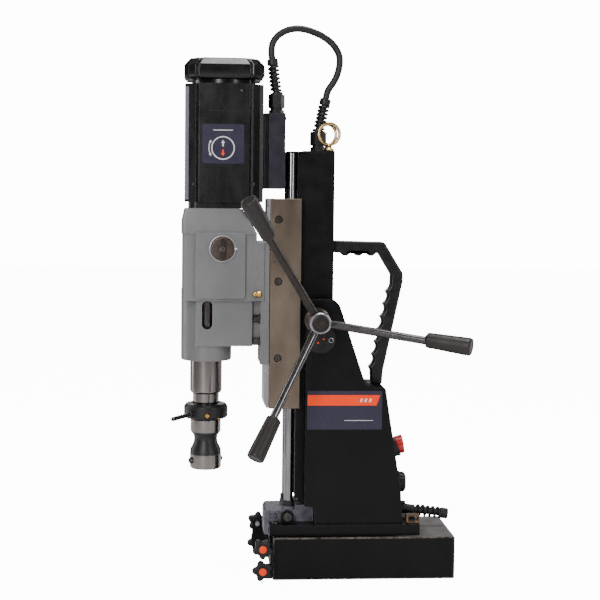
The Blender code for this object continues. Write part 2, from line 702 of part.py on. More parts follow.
def build_star_knobs(mat):
    for side, tag in ((-1, "left"), (1, "right")):
        for level, z in STAR_HEIGHTS.items():
            low, high = sorted((side * (LUG_Y[1] + 0.0015), side * 0.0895))
            knob = prism("star_knob_%s_%s" % (level, tag), star_outline(0.0147, 0.0037, (STAR_X, z)),
                         low, high, "Y", mat["plastic"])
            stem = turned("stem", [(0.0035, 0.0660), (0.0035, LUG_Y[1] + GAP), (0.0062, LUG_Y[1] + GAP),
                                   (0.0062, 0.0905), (0.0053, 0.0920)],
                          (STAR_X, 0.0, z), (0, side, 0), count=10)
            fuse(knob, stem)
            carry(pivot("knob_axis_%s_%s" % (level, tag), (STAR_X, side * 0.08, z)), knob)
        build_knob_bracket(side, tag, mat)


def build_knob_bracket(side, tag, mat):
    face = -MAGNET_LENGTH / 2 - GAP
    low, high = sorted((side * 0.040, side * LUG_Y[1]))
    bracket = box("knob_bracket_" + tag, (face - 0.004, low, 0.006), (face, high, 0.0555), mat["black"])
    near, far = sorted((side * LUG_Y[0], side * LUG_Y[1]))
    lugs = []
    if side < 0:
        for z in STAR_HEIGHTS.values():
            lugs.append(prism("lug", fillet([(-0.1535, z - 0.0065, 0.005), (face, z - 0.0065),
                                             (face, min(z + 0.0065, 0.0555)),
                                             (-0.1535, min(z + 0.0065, 0.0555), 0.003)], 3), near, far, "Y"))
    else:
        lugs.append(prism("lug", fillet([(-0.1535, 0.010, 0.005), (face, 0.010), (face, 0.0555),
                                         (-0.1535, 0.0555, 0.003)], 3), near, far, "Y"))
    fuse(bracket, *lugs)
    for z in STAR_HEIGHTS.values():
        cut(bracket, rod("stem_hole", 0.0039, (STAR_X, side * 0.06, z), (STAR_X, side * 0.085, z), count=14))


# ---------------------------------------------------------------- capstan

def build_capstan(mat):
    axis = pivot("capstan_axis", (PINION_X, 0.0, PINION_Z))
    centre = (PINION_X, PINION_Z)
    teeth = prism("pinion_shaft", gear_outline(FEED_MODULE, PINION_TEETH, centre, math.pi), -0.0085, 0.0085,
                  "Y", mat["dark_steel"])
    shaft = turned("shaft", [(SHAFT_RADIUS, -0.0500), (SHAFT_RADIUS, 0.0740), (0.0085, 0.0750)],
                   (PINION_X, 0.0, PINION_Z), (0, -1, 0), count=16)
    fuse(teeth, shaft)
    for side, tag in ((-1, "left"), (1, "right")):
        turned("pinion_bush_" + tag, [(SHAFT_RADIUS + GAP, 0.040), (BUSH_RADIUS, 0.040),
                                      (BUSH_RADIUS, HOUSING_HALF_WIDTH + 0.0002),
                                      (SHAFT_RADIUS + GAP, HOUSING_HALF_WIDTH + 0.0002)],
               (PINION_X, 0.0, PINION_Z), (0, side, 0), mat["bronze"], 24, closed=True)
    dial = (-0.0643, -HOUSING_HALF_WIDTH, 0.3424)
    disc = turned("lock_dial", [(0.0, GAP), (0.0215, GAP), (0.0215, 0.0040), (0.0200, 0.0056), (0.0, 0.0056)],
                  dial, (0, -1, 0), mat["plastic"], 24)
    cut(disc, rod("shaft_clearance", BUSH_RADIUS + 0.001, (PINION_X, -0.07, PINION_Z),
                  (PINION_X, -0.04, PINION_Z), count=24))
    hub = turned("capstan_hub", [(0.0, 0.0585), (0.0175, 0.0585), (0.0180, 0.0595), (0.0180, 0.0640),
                                 (0.0125, 0.0665), (0.0125, 0.0780), (0.0150, 0.0800), (0.0150, 0.1090),
                                 (0.0140, 0.1110), (0.0123, 0.1113), (0.0118, 0.1140), (0.0, 0.1150)],
                 (PINION_X, 0.0, PINION_Z), (0, -1, 0), mat["dark_steel"], 18)
    cut(hub, turned("shaft_bore", [(SHAFT_RADIUS + GAP, 0.04), (SHAFT_RADIUS + GAP, 0.0755)],
                    (PINION_X, 0.0, PINION_Z), (0, -1, 0), count=16))
    carry(axis, teeth, hub)
    for number, degrees in enumerate(LEVER_ANGLES, 1):
        build_lever(number, math.radians(degrees), hub, axis, mat)


def build_lever(number, angle, hub, axis, mat):
    centre = Vector((PINION_X, HUB_JUNCTION_Y, PINION_Z))
    flat = Vector((math.cos(angle), 0.0, math.sin(angle)))
    along = flat * math.cos(LEVER_TILT) + Vector((0, -1, 0)) * math.sin(LEVER_TILT)
    seat = 0.0125
    cut(hub, rod("lever_bore_%d" % number, LEVER_RADIUS + GAP, centre + along * seat, centre + along * 0.03))
    start = seat + GAP
    grip_start = LEVER_REACH - GRIP_LENGTH
    lever = turned("lever_%d" % number, [(LEVER_RADIUS, start), (LEVER_RADIUS, grip_start + 0.018)],
                   centre, along, mat["dark_steel"], 12)
    bore = LEVER_RADIUS + GAP
    profile = [(bore, 0.0), (0.0085, 0.0), (0.0100, 0.0025), (0.0106, 0.0060), (0.0117, 0.0300),
               (0.0126, 0.0540), (0.0127, 0.0605), (0.0120, GRIP_LENGTH), (0.0, GRIP_LENGTH)]
    profile = [(0.0, 0.0185), (bore, 0.0185)] + profile
    grip = turned("grip_%d" % number, profile, centre + along * grip_start, along, mat["grip"], 14)
    carry(axis, lever, grip)


# ---------------------------------------------------------------- carriage

def rack_outline():
    """Rack teeth on the slide's back; a gap between teeth lies level with the pinion's axis."""
    pitch = math.pi * FEED_MODULE
    line = PINION_X - PINION_RADIUS
    tip, root = line + 0.85 * FEED_MODULE, line - 1.2 * FEED_MODULE
    low = PINION_Z - 20.5 * pitch
    points = [(SLIDE_BACK_X + GAP, low - 0.003), (root, low - 0.003)]
    for tooth in range(48):
        mid = low + tooth * pitch
        if mid > SLIDE_TOP - 0.004:
            break
        points += [(root, mid - 0.27 * pitch), (tip, mid - 0.11 * pitch), (tip, mid + 0.11 * pitch),
                   (root, mid + 0.27 * pitch)]
    top = points[-1][1] + 0.001
    return points + [(root, top), (SLIDE_BACK_X + GAP, top)]


def build_slide(mat, axis):
    low, high = SLIDE_BOTTOM, SLIDE_TOP
    outline = [(SLIDE_BACK_X, low), (SLIDE_BACK_X, high), (-0.1405, high), (-0.1405, 0.4779),
               (SLIDE_FRONT_X, 0.4779), (SLIDE_FRONT_X, 0.3037), (-0.143, 0.3037), (-0.143, low + 0.006),
               (-0.1395, low)]
    block = prism("slide_block", outline, -SLIDE_HALF_WIDTH, SLIDE_HALF_WIDTH, "Y", mat["steel"])
    bores = []
    for side in (-1, 1):
        y = side * ROD_Y
        bores.append(rod("guide_bore", ROD_RADIUS + GAP, (ROD_X, y, 0.2), (ROD_X, y, 0.6), count=16))
    cut(block, *bores)
    rack = prism("feed_rack", rack_outline(), -RACK_HALF_WIDTH, RACK_HALF_WIDTH, "Y", mat["dark_steel"])
    carry(axis, block, rack)
    for side, tag in ((-1, "left"), (1, "right")):
        inner, outer = side * (SLIDE_HALF_WIDTH + GAP), side * (SLIDE_HALF_WIDTH + SIDE_PLATE_THICKNESS)
        near, far = sorted((inner, outer))
        plate = box("slide_plate_" + tag, (SIDE_PLATE_X[0], near, low), (SIDE_PLATE_X[1], far, high), mat["plate"])
        bevel(plate, 0.0008)
        sinks = []
        for z in SIDE_SCREW_Z:
            sinks.append(rod("screw_sink", 0.0058, (SIDE_SCREW_X, outer - side * 0.0045, z),
                             (SIDE_SCREW_X, outer + side * 0.005, z), count=14))
        cut(plate, *sinks)
        carry(axis, plate)


def build_gearbox(mat, axis):
    left, half = GEARBOX_LEFT_X, GEARBOX_HALF_WIDTH
    body = prism("gearbox_housing", fillet([(left, -half, 0.006), (-0.155, -half, 0.004),
                                            (-0.155, half, 0.004), (left, half, 0.006)], 2),
                 GEARBOX_PANEL_BOTTOM - 0.004, GEARBOX_FLANGE, "Z", mat["grey"])
    lower = prism("lower_body", fillet([(-0.240, -0.040), (-0.160, -0.040, 0.004), (-0.160, 0.040, 0.004),
                                        (-0.240, 0.040)], 2), GEARBOX_SHELF, 0.41, "Z")
    nose = turned("lower_cylinder", [(0.0350, GEARBOX_BOTTOM), (0.0362, GEARBOX_BOTTOM + 0.0015), (0.0362, 0.41)],
                  (SPINDLE_X, 0.0, 0.0), (0, 0, 1), count=28)
    panels = prism("side_panels", rounded_rectangle(0.0342, 0.0458, 0.004, (-0.2061, 0.4442), 2),
                   -0.052, 0.052, "Y")
    flange = box("slide_flange", (-0.149, -0.0405, 0.304), (SLIDE_FRONT_X - GAP, 0.0405, 0.4776))
    web = box("flange_web", (-0.170, -0.030, GEARBOX_SHELF + 0.0005), (-0.145, 0.030, 0.4776))
    neck = box("flange_neck", (-0.165, -0.0440, GEARBOX_PANEL_BOTTOM - 0.0035), (-0.145, 0.0440, 0.4770))
    fuse(body, lower, nose, panels, web, neck, flange, gearbox_crown())
    cavity = prism("gear_cavity", rounded_rectangle(0.040, 0.038, 0.008, (-0.205, 0.0), 3),
                   CAVITY_FLOOR, GEARBOX_TOP + 0.01, "Z")
    bore = rod("spindle_bore", BEARING_BORE, (SPINDLE_X, 0.0, 0.29), (SPINDLE_X, 0.0, 0.43), count=24)
    slot = prism("drift_slot", rounded_rectangle(0.0073, 0.0205, 0.0072, (-0.2243, 0.374), 4),
                 -0.06, 0.06, "Y")
    stubs = rod("selector_holes", 0.0053, (SELECTOR_X, -0.06, SELECTOR_Z), (SELECTOR_X, 0.06, SELECTOR_Z))
    cut(body, cavity, bore, slot, stubs)
    carry(axis, body)
    for tag, low in (("lower", 0.310), ("upper", 0.3965)):
        bearing = turned("spindle_bearing_" + tag, [(QUILL_RADIUS + GAP, low), (BEARING_BORE - GAP, low),
                                                    (BEARING_BORE - GAP, low + 0.012),
                                                    (QUILL_RADIUS + GAP, low + 0.012)],
                         (SPINDLE_X, 0.0, 0.0), (0, 0, 1), mat["steel"], 24, closed=True)
        carry(axis, bearing)


def gearbox_crown():
    """The upper flange: its lower band is upright and its upper band leans in towards the motor."""
    levels = [(GEARBOX_FLANGE - 0.001, -0.2612, -0.1545, 0.049), (0.507, -0.2612, -0.1650, 0.049),
              (GEARBOX_TOP, -0.2575, -0.1765, 0.045)]
    bm = bmesh.new()
    rings = []
    for z, x0, x1, y in levels:
        outline = fillet([(x0, -y, 0.006), (x1, -y, 0.006), (x1, y, 0.006), (x0, y, 0.006)], 2)
        rings.append([bm.verts.new((px, py, z)) for px, py in outline])
    for first, second in zip(rings, rings[1:]):
        for i in range(len(first)):
            j = (i + 1) % len(first)
            bm.faces.new((first[i], first[j], second[j], second[i]))
    bm.faces.new(rings[0])
    bm.faces.new(rings[-1])
    return add_object("crown", bm, None)


def build_selectors(mat):
    for side, tag in ((-1, "left"), (1, "right")):
        knob = turned("gear_selector_" + tag, [(0.0, 0.0395), (0.0050, 0.0395), (0.0050, 0.0523),
                                               (0.0164, 0.0523), (0.0164, 0.0580), (0.0155, 0.0590),
                                               (0.0, 0.0590)],
                      (SELECTOR_X, 0.0, SELECTOR_Z), (0, side, 0), mat["dark_steel"], 20)
        low, high = sorted((side * 0.0580, side * 0.0640))
        ridge = prism("ridge", rounded_rectangle(0.0042, 0.0145, 0.0015, (SELECTOR_X, SELECTOR_Z), 2),
                      low, high, "Y")
        fuse(knob, ridge)
        carry(pivot("selector_axis_" + tag, (SELECTOR_X, side * 0.056, SELECTOR_Z)), knob)


def motor_outline(scale):
    """Four broad flats with a narrow lobe at each corner, and a groove each side of the lobe."""
    quarter = [(0.055, -0.0345), (0.055, 0.0345), (0.0485, 0.0372), (0.0495, 0.0400), (0.0400, 0.0495),
               (0.0372, 0.0485)]
    points = []
    for turn in range(4):
        spin = Matrix.Rotation(turn * math.pi / 2, 2)
        points += [spin @ (Vector(p) * scale) for p in quarter]
    return [(MOTOR_X + p.x, p.y) for p in points]


def build_motor(mat, axis):
    housing = prism("motor_housing", motor_outline(1.0), 0.533, MOTOR_TOP, "Z", mat["black"])
    skirt = prism("motor_skirt", rounded_rectangle(0.0500, 0.0440, 0.012, (MOTOR_X, 0.0), 3),
                  GEARBOX_TOP + GAP, 0.534, "Z")
    fuse(housing, skirt)
    bore = turned("motor_bore", [(0.035, 0.50), (0.035, 0.536), (MOTOR_BORE, 0.536), (MOTOR_BORE, 0.72)],
                  (MOTOR_X, 0.0, 0.0), (0, 0, 1), count=24)
    window = prism("cover_recess", rounded_rectangle(0.031, 0.019, 0.006, (MOTOR_X - 0.0005, 0.6785), 3),
                   -0.06, -0.0535, "Y")
    cut(housing, bore, window)
    cap = motor_cap(mat)
    stator = turned("motor_stator", [(0.0315, 0.580), (MOTOR_BORE - GAP, 0.580), (MOTOR_BORE - GAP, 0.650),
                                     (0.0315, 0.650)], (MOTOR_X, 0.0, 0.0), (0, 0, 1), mat["copper"], 24,
                    closed=True)
    carry(axis, housing, cap, stator)
    x0, x1, x2 = BOX_X
    base = box("terminal_box", (x0, -BOX_HALF_WIDTH, BOX_Z[0]), (x1 - GAP, BOX_HALF_WIDTH, BOX_Z[1]), mat["black"])
    cover = box("terminal_box_cover", (x1, -BOX_HALF_WIDTH, BOX_Z[0]), (x2, BOX_HALF_WIDTH, BOX_Z[1]),
                mat["violet"])
    cut(cover, box("wiring_space", (x1 - 0.01, -BOX_HALF_WIDTH + 0.003, BOX_Z[0] + 0.003),
                   (x2 - 0.003, BOX_HALF_WIDTH - 0.003, BOX_Z[1] - 0.003)),
        rod("gland_hole", 0.0083, (MOTOR_GLAND_X, 0.0, BOX_Z[1] - 0.01), (MOTOR_GLAND_X, 0.0, BOX_Z[1] + 0.01)))
    gland = build_gland("motor_gland", (MOTOR_GLAND_X, 0.0, BOX_Z[1]), 0.6865, MOTOR_GLAND_TIP, mat)
    carry(axis, base, cover, gland)


def motor_cap(mat):
    """End cap: a round neck, then the fluted rim, bevelled towards the top."""
    top = CAP_BOTTOM + CAP_HEIGHT
    levels = [(CAP_BOTTOM, 0.94), (CAP_BOTTOM + 0.005, 1.02), (top - 0.010, 1.02), (top - 0.0015, 0.88),
              (top, 0.85)]
    bm = bmesh.new()
    rings = [[bm.verts.new((x, y, z)) for x, y in motor_outline(scale)] for z, scale in levels]
    for first, second in zip(rings, rings[1:]):
        for i in range(len(first)):
            j = (i + 1) % len(first)
            bm.faces.new((first[i], first[j], second[j], second[i]))
    bm.faces.new(rings[0])
    bm.faces.new(rings[-1])
    cap = add_object("motor_cap", bm, mat["black"])
    neck = turned("cap_neck", [(0.0450, MOTOR_TOP + GAP), (0.0450, CAP_BOTTOM + 0.002)], (MOTOR_X, 0.0, 0.0),
                  (0, 0, 1), count=24)
    fuse(cap, neck)
    return cut(cap, rod("cap_space", 0.040, (MOTOR_X, 0.0, 0.68), (MOTOR_X, 0.0, 0.722), count=24))


# ---------------------------------------------------------------- spindle and gear train

def layshaft_place():
    """The layshaft stands where both pairs of pitch circles touch."""
    span = MOTOR_X - SPINDLE_X
    to_spindle = SLOW_MODULE * sum(SLOW_TEETH) / 2
    to_motor = FAST_MODULE * sum(FAST_TEETH) / 2
    along = (to_spindle ** 2 - to_motor ** 2 + span ** 2) / (2 * span)
    across = math.sqrt(to_spindle ** 2 - along ** 2)
    return (SPINDLE_X + along, across)


def mesh_phase(own, other, own_teeth, other_teeth, other_phase):
    """The phase at which a gear's gap faces the other gear's tooth."""
    towards_other = math.atan2(other[1] - own[1], other[0] - own[0])
    towards_own = towards_other + math.pi
    other_pitch = 2 * math.pi / other_teeth
    offset = ((towards_own - other_phase) / other_pitch) % 1.0
    own_pitch = 2 * math.pi / own_teeth
    return towards_other + own_pitch * (0.5 + offset)


def build_gear_train(mat):
    motor, spindle = (MOTOR_X, 0.0), (SPINDLE_X, 0.0)
    lay = layshaft_place()
    lay_phase = 0.0
    motor_phase = mesh_phase(motor, lay, FAST_TEETH[0], FAST_TEETH[1], lay_phase)
    spindle_phase = mesh_phase(spindle, lay, SLOW_TEETH[1], SLOW_TEETH[0], lay_phase)
    rotor = prism("motor_rotor", gear_outline(FAST_MODULE, FAST_TEETH[0], motor, motor_phase), *FAST_Z, "Z",
                  mat["dark_steel"])
    armature = turned("armature", [(0.0045, FAST_Z[1] - 0.001), (0.0060, 0.520), (0.0060, 0.541),
                                   (0.0300, 0.541), (0.0390, 0.545), (0.0390, 0.555), (0.0120, 0.558),
                                   (0.0120, 0.572), (0.0305, 0.578), (0.0305, 0.652), (0.0120, 0.660),
                                   (0.0170, 0.662), (0.0170, 0.682), (0.0060, 0.684), (0.0060, 0.705)],
                      (MOTOR_X, 0.0, 0.0), (0, 0, 1), count=14)
    fuse(rotor, armature)
    carry(pivot("rotor_axis", (MOTOR_X, 0.0, 0.6)), rotor)
    layshaft = prism("layshaft", gear_outline(FAST_MODULE, FAST_TEETH[1], lay, lay_phase), *FAST_Z, "Z",
                     mat["dark_steel"])
    slow = prism("slow_pinion", gear_outline(SLOW_MODULE, SLOW_TEETH[0], lay, lay_phase), *SLOW_Z, "Z")
    shaft = rod("lay_rod", 0.005, (*lay, CAVITY_FLOOR + GAP), (*lay, 0.516), count=16)
    fuse(layshaft, shaft, slow)
    carry(pivot("layshaft_axis", (*lay, 0.48)), layshaft)
    build_spindle(mat, spindle_phase)


def build_spindle(mat, phase):
    axis = pivot("spindle_axis", (SPINDLE_X, 0.0, 0.3))
    spindle = turned("spindle", [(0.0, 0.2465), (0.0188, 0.2465), (0.0188, 0.2585), (0.0214, 0.2600),
                                 (QUILL_RADIUS, 0.2625), (QUILL_RADIUS, 0.4095), (0.0150, 0.4105),
                                 (0.0150, SLOW_Z[1] + 0.003), (0.0, SLOW_Z[1] + 0.003)],
                     (SPINDLE_X, 0.0, 0.0), (0, 0, 1), mat["steel"], 24)
    gear = prism("spindle_gear", gear_outline(SLOW_MODULE, SLOW_TEETH[1], (SPINDLE_X, 0.0), phase),
                 SLOW_Z[0], SLOW_Z[1], "Z")
    fuse(spindle, gear)
    taper = turned("taper_socket", [(0.0124, 0.240), (0.0124, 0.290), (0.0109, 0.330), (0.0, 0.330)],
                   (SPINDLE_X, 0.0, 0.0), (0, 0, 1), count=14)
    cut(spindle, taper)
    nose_top, nose = 0.169, 0.0226
    arbor = turned("arbor", [(0.0, 0.1496), (0.0208, 0.1496), (nose, 0.1518), (nose, nose_top),
                             (0.0221, 0.1775), (0.0173, 0.1870), (0.0166, 0.1925), (0.0173, 0.1975),
                             (0.0218, 0.2036),
                             (0.0218, 0.2210), (0.0160, 0.2220), (0.0160, 0.2462), (0.0117, 0.2462),
                             (0.0117, 0.2895), (0.0102, 0.3290), (0.0, 0.3290)],
                   (SPINDLE_X, 0.0, 0.0), (0, 0, 1), mat["steel"], 24)
    cut(arbor, rod("cutter_bore", 0.0095, (SPINDLE_X, 0.0, 0.14), (SPINDLE_X, 0.0, 0.195), count=20))
    carry(axis, spindle, arbor)
    build_coolant_ring(mat)


def build_coolant_ring(mat):
    centre = (SPINDLE_X, 0.0, 0.0)
    bore = 0.0163
    ring = turned("coolant_ring", [(bore, 0.2233), (0.0295, 0.2233), (0.0315, 0.2262), (0.0315, 0.2400),
                                   (0.0285, 0.2440), (0.0205, 0.2455), (0.0205, 0.2425), (bore, 0.2425)],
                  centre, (0, 0, 1), mat["plastic"], 28, closed=True)
    turn = math.radians(229)
    out = Vector((math.cos(turn), math.sin(turn), 0.0))
    middle = Vector((SPINDLE_X, 0.0, 0.2315))
    arm = rod("coolant_arm", 0.0029, middle + out * 0.026, middle + out * 0.072 - Vector((0, 0, 0.003)), count=14)
    fuse(ring, arm)
    carry(pivot("coolant_axis", (SPINDLE_X, 0.0, 0.2344)), ring)


def main():
    clear_scene()
    mat = make_materials()
    build_magnet(mat)
    build_housing(mat)
    build_control_panel(mat)
    build_rear_controls(mat)
    build_column(mat)
    build_column_cap(mat)
    build_eye_bolt("eye_bolt_left", -1, 0.0, mat)
    build_eye_bolt("eye_bolt_right", 1, EYE_TURN, mat)
    build_gland("column_gland", (GLAND_X, 0.0, CAP_TOP), 0.6345, COLUMN_GLAND_TIP, mat)
    build_cable(mat)
    build_guides(mat)
    build_handle(mat)
    build_strap_lug(mat)
    build_star_knobs(mat)
    build_capstan(mat)
    carriage = pivot("carriage_axis", (ROD_X, 0.0, SLIDE_BOTTOM))
    build_slide(mat, carriage)
    build_gearbox(mat, carriage)
    build_motor(mat, carriage)
    build_selectors(mat)
    build_gear_train(mat)


main()
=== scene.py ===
"""Looks of the magnetic drill press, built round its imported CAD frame. Metres, +Z up.

The drill stands at -X, the control panel faces +X, and the capstan levers are on the -Y side.
"""
import math

import json

import bmesh
import bpy
from mathutils import Matrix, Vector


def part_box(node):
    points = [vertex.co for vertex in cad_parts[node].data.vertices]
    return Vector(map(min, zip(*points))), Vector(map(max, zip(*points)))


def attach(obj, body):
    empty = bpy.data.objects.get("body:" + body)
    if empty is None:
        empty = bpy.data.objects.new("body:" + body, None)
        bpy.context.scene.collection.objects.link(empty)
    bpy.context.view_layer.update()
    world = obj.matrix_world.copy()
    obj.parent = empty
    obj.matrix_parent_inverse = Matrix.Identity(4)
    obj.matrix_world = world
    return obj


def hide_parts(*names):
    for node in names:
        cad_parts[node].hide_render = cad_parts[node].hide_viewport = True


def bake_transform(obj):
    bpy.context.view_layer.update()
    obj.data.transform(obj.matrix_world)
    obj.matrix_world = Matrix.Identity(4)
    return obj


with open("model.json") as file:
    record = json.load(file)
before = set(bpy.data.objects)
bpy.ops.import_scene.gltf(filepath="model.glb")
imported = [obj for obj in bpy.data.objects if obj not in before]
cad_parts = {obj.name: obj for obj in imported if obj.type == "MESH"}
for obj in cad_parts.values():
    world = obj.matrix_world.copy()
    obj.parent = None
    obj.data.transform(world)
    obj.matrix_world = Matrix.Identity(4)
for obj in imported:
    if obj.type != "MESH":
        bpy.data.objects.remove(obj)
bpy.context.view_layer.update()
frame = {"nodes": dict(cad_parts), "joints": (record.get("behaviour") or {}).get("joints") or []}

NODES = frame["nodes"]
JOINTS = {joint["name"]: joint for joint in frame["joints"]}

# Camera
CAMERA_PLACE = (-0.2487, -1.9942, 0.5369)
CAMERA_YAW = math.radians(4.54)
CAMERA_PITCH = math.radians(4.11)
CAMERA_ROLL = math.radians(-0.62)
CAMERA_LENS = 83.44

# Motor cable, from the motor gland's cap round to the column gland's cap
CABLE_DIAMETER = 0.010
CABLE_POINTS = [
    (-0.13365, 0.0, 0.7364), (-0.1348, 0.0, 0.7449), (-0.1335, 0.0, 0.7578), (-0.1262, 0.0, 0.7691),
    (-0.1144, 0.0, 0.7767), (-0.1008, 0.0, 0.7799), (-0.0878, 0.0, 0.7791), (-0.0723, 0.0, 0.7745),
    (-0.0582, 0.0, 0.7673), (-0.0467, 0.0, 0.7580), (-0.0389, 0.0, 0.7456), (-0.0371, 0.0, 0.7329),
    (-0.0399, 0.0, 0.7178), (-0.0452, 0.0, 0.7060), (-0.0517, 0.0, 0.6965), (-0.0547, 0.0, 0.6900),
    (-0.0565, 0.0, 0.6816),
]

# Rear face of the stand's housing, as (x, z): nearly upright to the bend, then sloping to the shoulder
REAR_BEND = (0.0535, 0.1217)
REAR_SHOULDER = (0.0292, 0.2722)
REAR_LEAN = 0.0509
STOP_PLACE = (0.0440, 0.0, 0.1807)

# The turn at which each star knob stands, in radians, and each lever's tone: the same steel with painted
# shade, a painted half-light or a painted highlight
STAR_PHASES = {"star_knob_upper_left": 0.0, "star_knob_lower_left": 0.35, "star_knob_upper_right": 0.8,
               "star_knob_lower_right": 0.2}
LEVER_PAINTED_TONE = {1: "lever_dark", 2: "lever_bright", 3: "lever_blue"}


# ---------------------------------------------------------------- camera, lights, floor

def make_camera():
    """A camera that leans a little: yaw, then pitch down, then roll."""
    forward = Vector((math.sin(CAMERA_YAW) * math.cos(CAMERA_PITCH),
                      math.cos(CAMERA_YAW) * math.cos(CAMERA_PITCH), -math.sin(CAMERA_PITCH)))
    level = Vector((math.cos(CAMERA_YAW), -math.sin(CAMERA_YAW), 0.0))
    down = forward.cross(level)
    right = level * math.cos(CAMERA_ROLL) + down * math.sin(CAMERA_ROLL)
    low = down * math.cos(CAMERA_ROLL) - level * math.sin(CAMERA_ROLL)
    data = bpy.data.cameras.new("camera")
    data.lens = CAMERA_LENS
    data.sensor_width = 36.0
    data.clip_start, data.clip_end = 0.05, 100.0
    camera = bpy.data.objects.new("camera", data)
    turn = Matrix((right, -low, -forward)).transposed().to_4x4()
    camera.matrix_world = Matrix.Translation(CAMERA_PLACE) @ turn
    bpy.context.scene.collection.objects.link(camera)
    bpy.context.scene.camera = camera


def area_light(name, place, target, size, energy, colour=(1.0, 1.0, 1.0)):
    data = bpy.data.lights.new(name, "AREA")
    data.shape = "RECTANGLE"
    data.size, data.size_y = size
    data.energy = energy
    data.color = colour
    light = bpy.data.objects.new(name, data)
    light.location = place
    light.rotation_euler = (Vector(target) - Vector(place)).to_track_quat("-Z", "Y").to_euler()
    bpy.context.scene.collection.objects.link(light)


def make_lights():
    middle = (-0.07, 0.0, 0.38)
    area_light("key_light", (-1.05, -2.3, 1.25), middle, (0.55, 1.8), 50.0)
    area_light("fill_light", (1.55, -2.0, 1.1), middle, (0.45, 1.8), 24.0)
    area_light("top_light", (0.12, -0.1, 2.5), middle, (1.1, 0.8), 42.0)
    area_light("left_rim", (-1.8, 0.7, 0.9), middle, (0.45, 1.8), 14.0)
    area_light("right_rim", (1.7, 1.0, 0.9), middle, (0.45, 1.8), 14.0)
    area_light("back_light", (-0.4, 2.4, 1.6), middle, (1.6, 1.2), 18.0)


def make_world():
    """Pale surroundings: dimmer as a light than as the backdrop that the camera sees."""
    world = bpy.data.worlds.new("studio")
    bpy.context.scene.world = world
    world.use_nodes = True
    tree = world.node_tree
    tree.nodes.clear()
    out = tree.nodes.new("ShaderNodeOutputWorld")
    mix = tree.nodes.new("ShaderNodeMixShader")
    path = tree.nodes.new("ShaderNodeLightPath")
    tree.links.new(path.outputs["Is Camera Ray"], mix.inputs["Fac"])
    for slot, strength in ((1, 0.14), (2, 14.0)):
        back = tree.nodes.new("ShaderNodeBackground")
        back.inputs["Color"].default_value = (1.0, 1.0, 1.0, 1.0)
        back.inputs["Strength"].default_value = strength
        tree.links.new(back.outputs["Background"], mix.inputs[slot])
    tree.links.new(mix.outputs["Shader"], out.inputs["Surface"])


# ---------------------------------------------------------------- node tools

def join_up(tree, kind, inputs=None, **settings):
    """A new shader node; an input is given as a value or as the socket that feeds it."""
    made = tree.nodes.new("ShaderNode" + kind)
    for key, value in settings.items():
        setattr(made, key, value)
    for key, value in (inputs or {}).items():
        if isinstance(value, bpy.types.NodeSocket):
            tree.links.new(value, made.inputs[key])
        else:
            made.inputs[key].default_value = value
    return made


def object_place(tree, stretch=(1.0, 1.0, 1.0)):
    place = join_up(tree, "TexCoord").outputs["Object"]
    if tuple(stretch) == (1.0, 1.0, 1.0):
        return place
    return join_up(tree, "Mapping", {"Vector": place, "Scale": stretch}).outputs["Vector"]


def noise(tree, scale, detail=4.0, stretch=(1.0, 1.0, 1.0), roughness=0.55):
    inputs = {"Vector": object_place(tree, stretch), "Scale": scale, "Detail": detail, "Roughness": roughness}
    return join_up(tree, "TexNoise", inputs).outputs["Fac"]


def remap(tree, value, low, high, to_low=0.0, to_high=1.0):
    inputs = {"Value": value, "From Min": low, "From Max": high, "To Min": to_low, "To Max": to_high}
    return join_up(tree, "MapRange", inputs).outputs["Result"]


def times(tree, first, second):
    return join_up(tree, "Math", {0: first, 1: second}, operation="MULTIPLY").outputs[0]


def blend_colours(tree, factor, first, second):
    made = join_up(tree, "Mix", data_type="RGBA")
    for index, value in ((0, factor), (6, first), (7, second)):
        if isinstance(value, bpy.types.NodeSocket):
            tree.links.new(value, made.inputs[index])
        else:
            made.inputs[index].default_value = value if index == 0 else (*value, 1.0)
    return made.outputs[2]


def blend_values(tree, factor, first, second):
    made = join_up(tree, "Mix", data_type="FLOAT")
    for index, value in ((0, factor), (2, first), (3, second)):
        if isinstance(value, bpy.types.NodeSocket):
            tree.links.new(value, made.inputs[index])
        else:
            made.inputs[index].default_value = value
    return made.outputs[0]


def edge_mask(tree, width, breakup):
    """1 on convex and concave edges, broken up by noise, 0 on the flats."""
    rounded = join_up(tree, "Bevel", {"Radius": width}, samples=6).outputs["Normal"]
    plain = join_up(tree, "NewGeometry").outputs["Normal"]
    dot = join_up(tree, "VectorMath", {0: rounded, 1: plain}, operation="DOT_PRODUCT").outputs["Value"]
    edge = remap(tree, dot, 0.995, 0.86)
    return times(tree, edge, remap(tree, noise(tree, breakup, 5.0), 0.36, 0.60))


def start_material(name):
    material = bpy.data.materials.new(name)
    material.use_nodes = True
    tree = material.node_tree
    return material, tree, tree.nodes["Principled BSDF"]


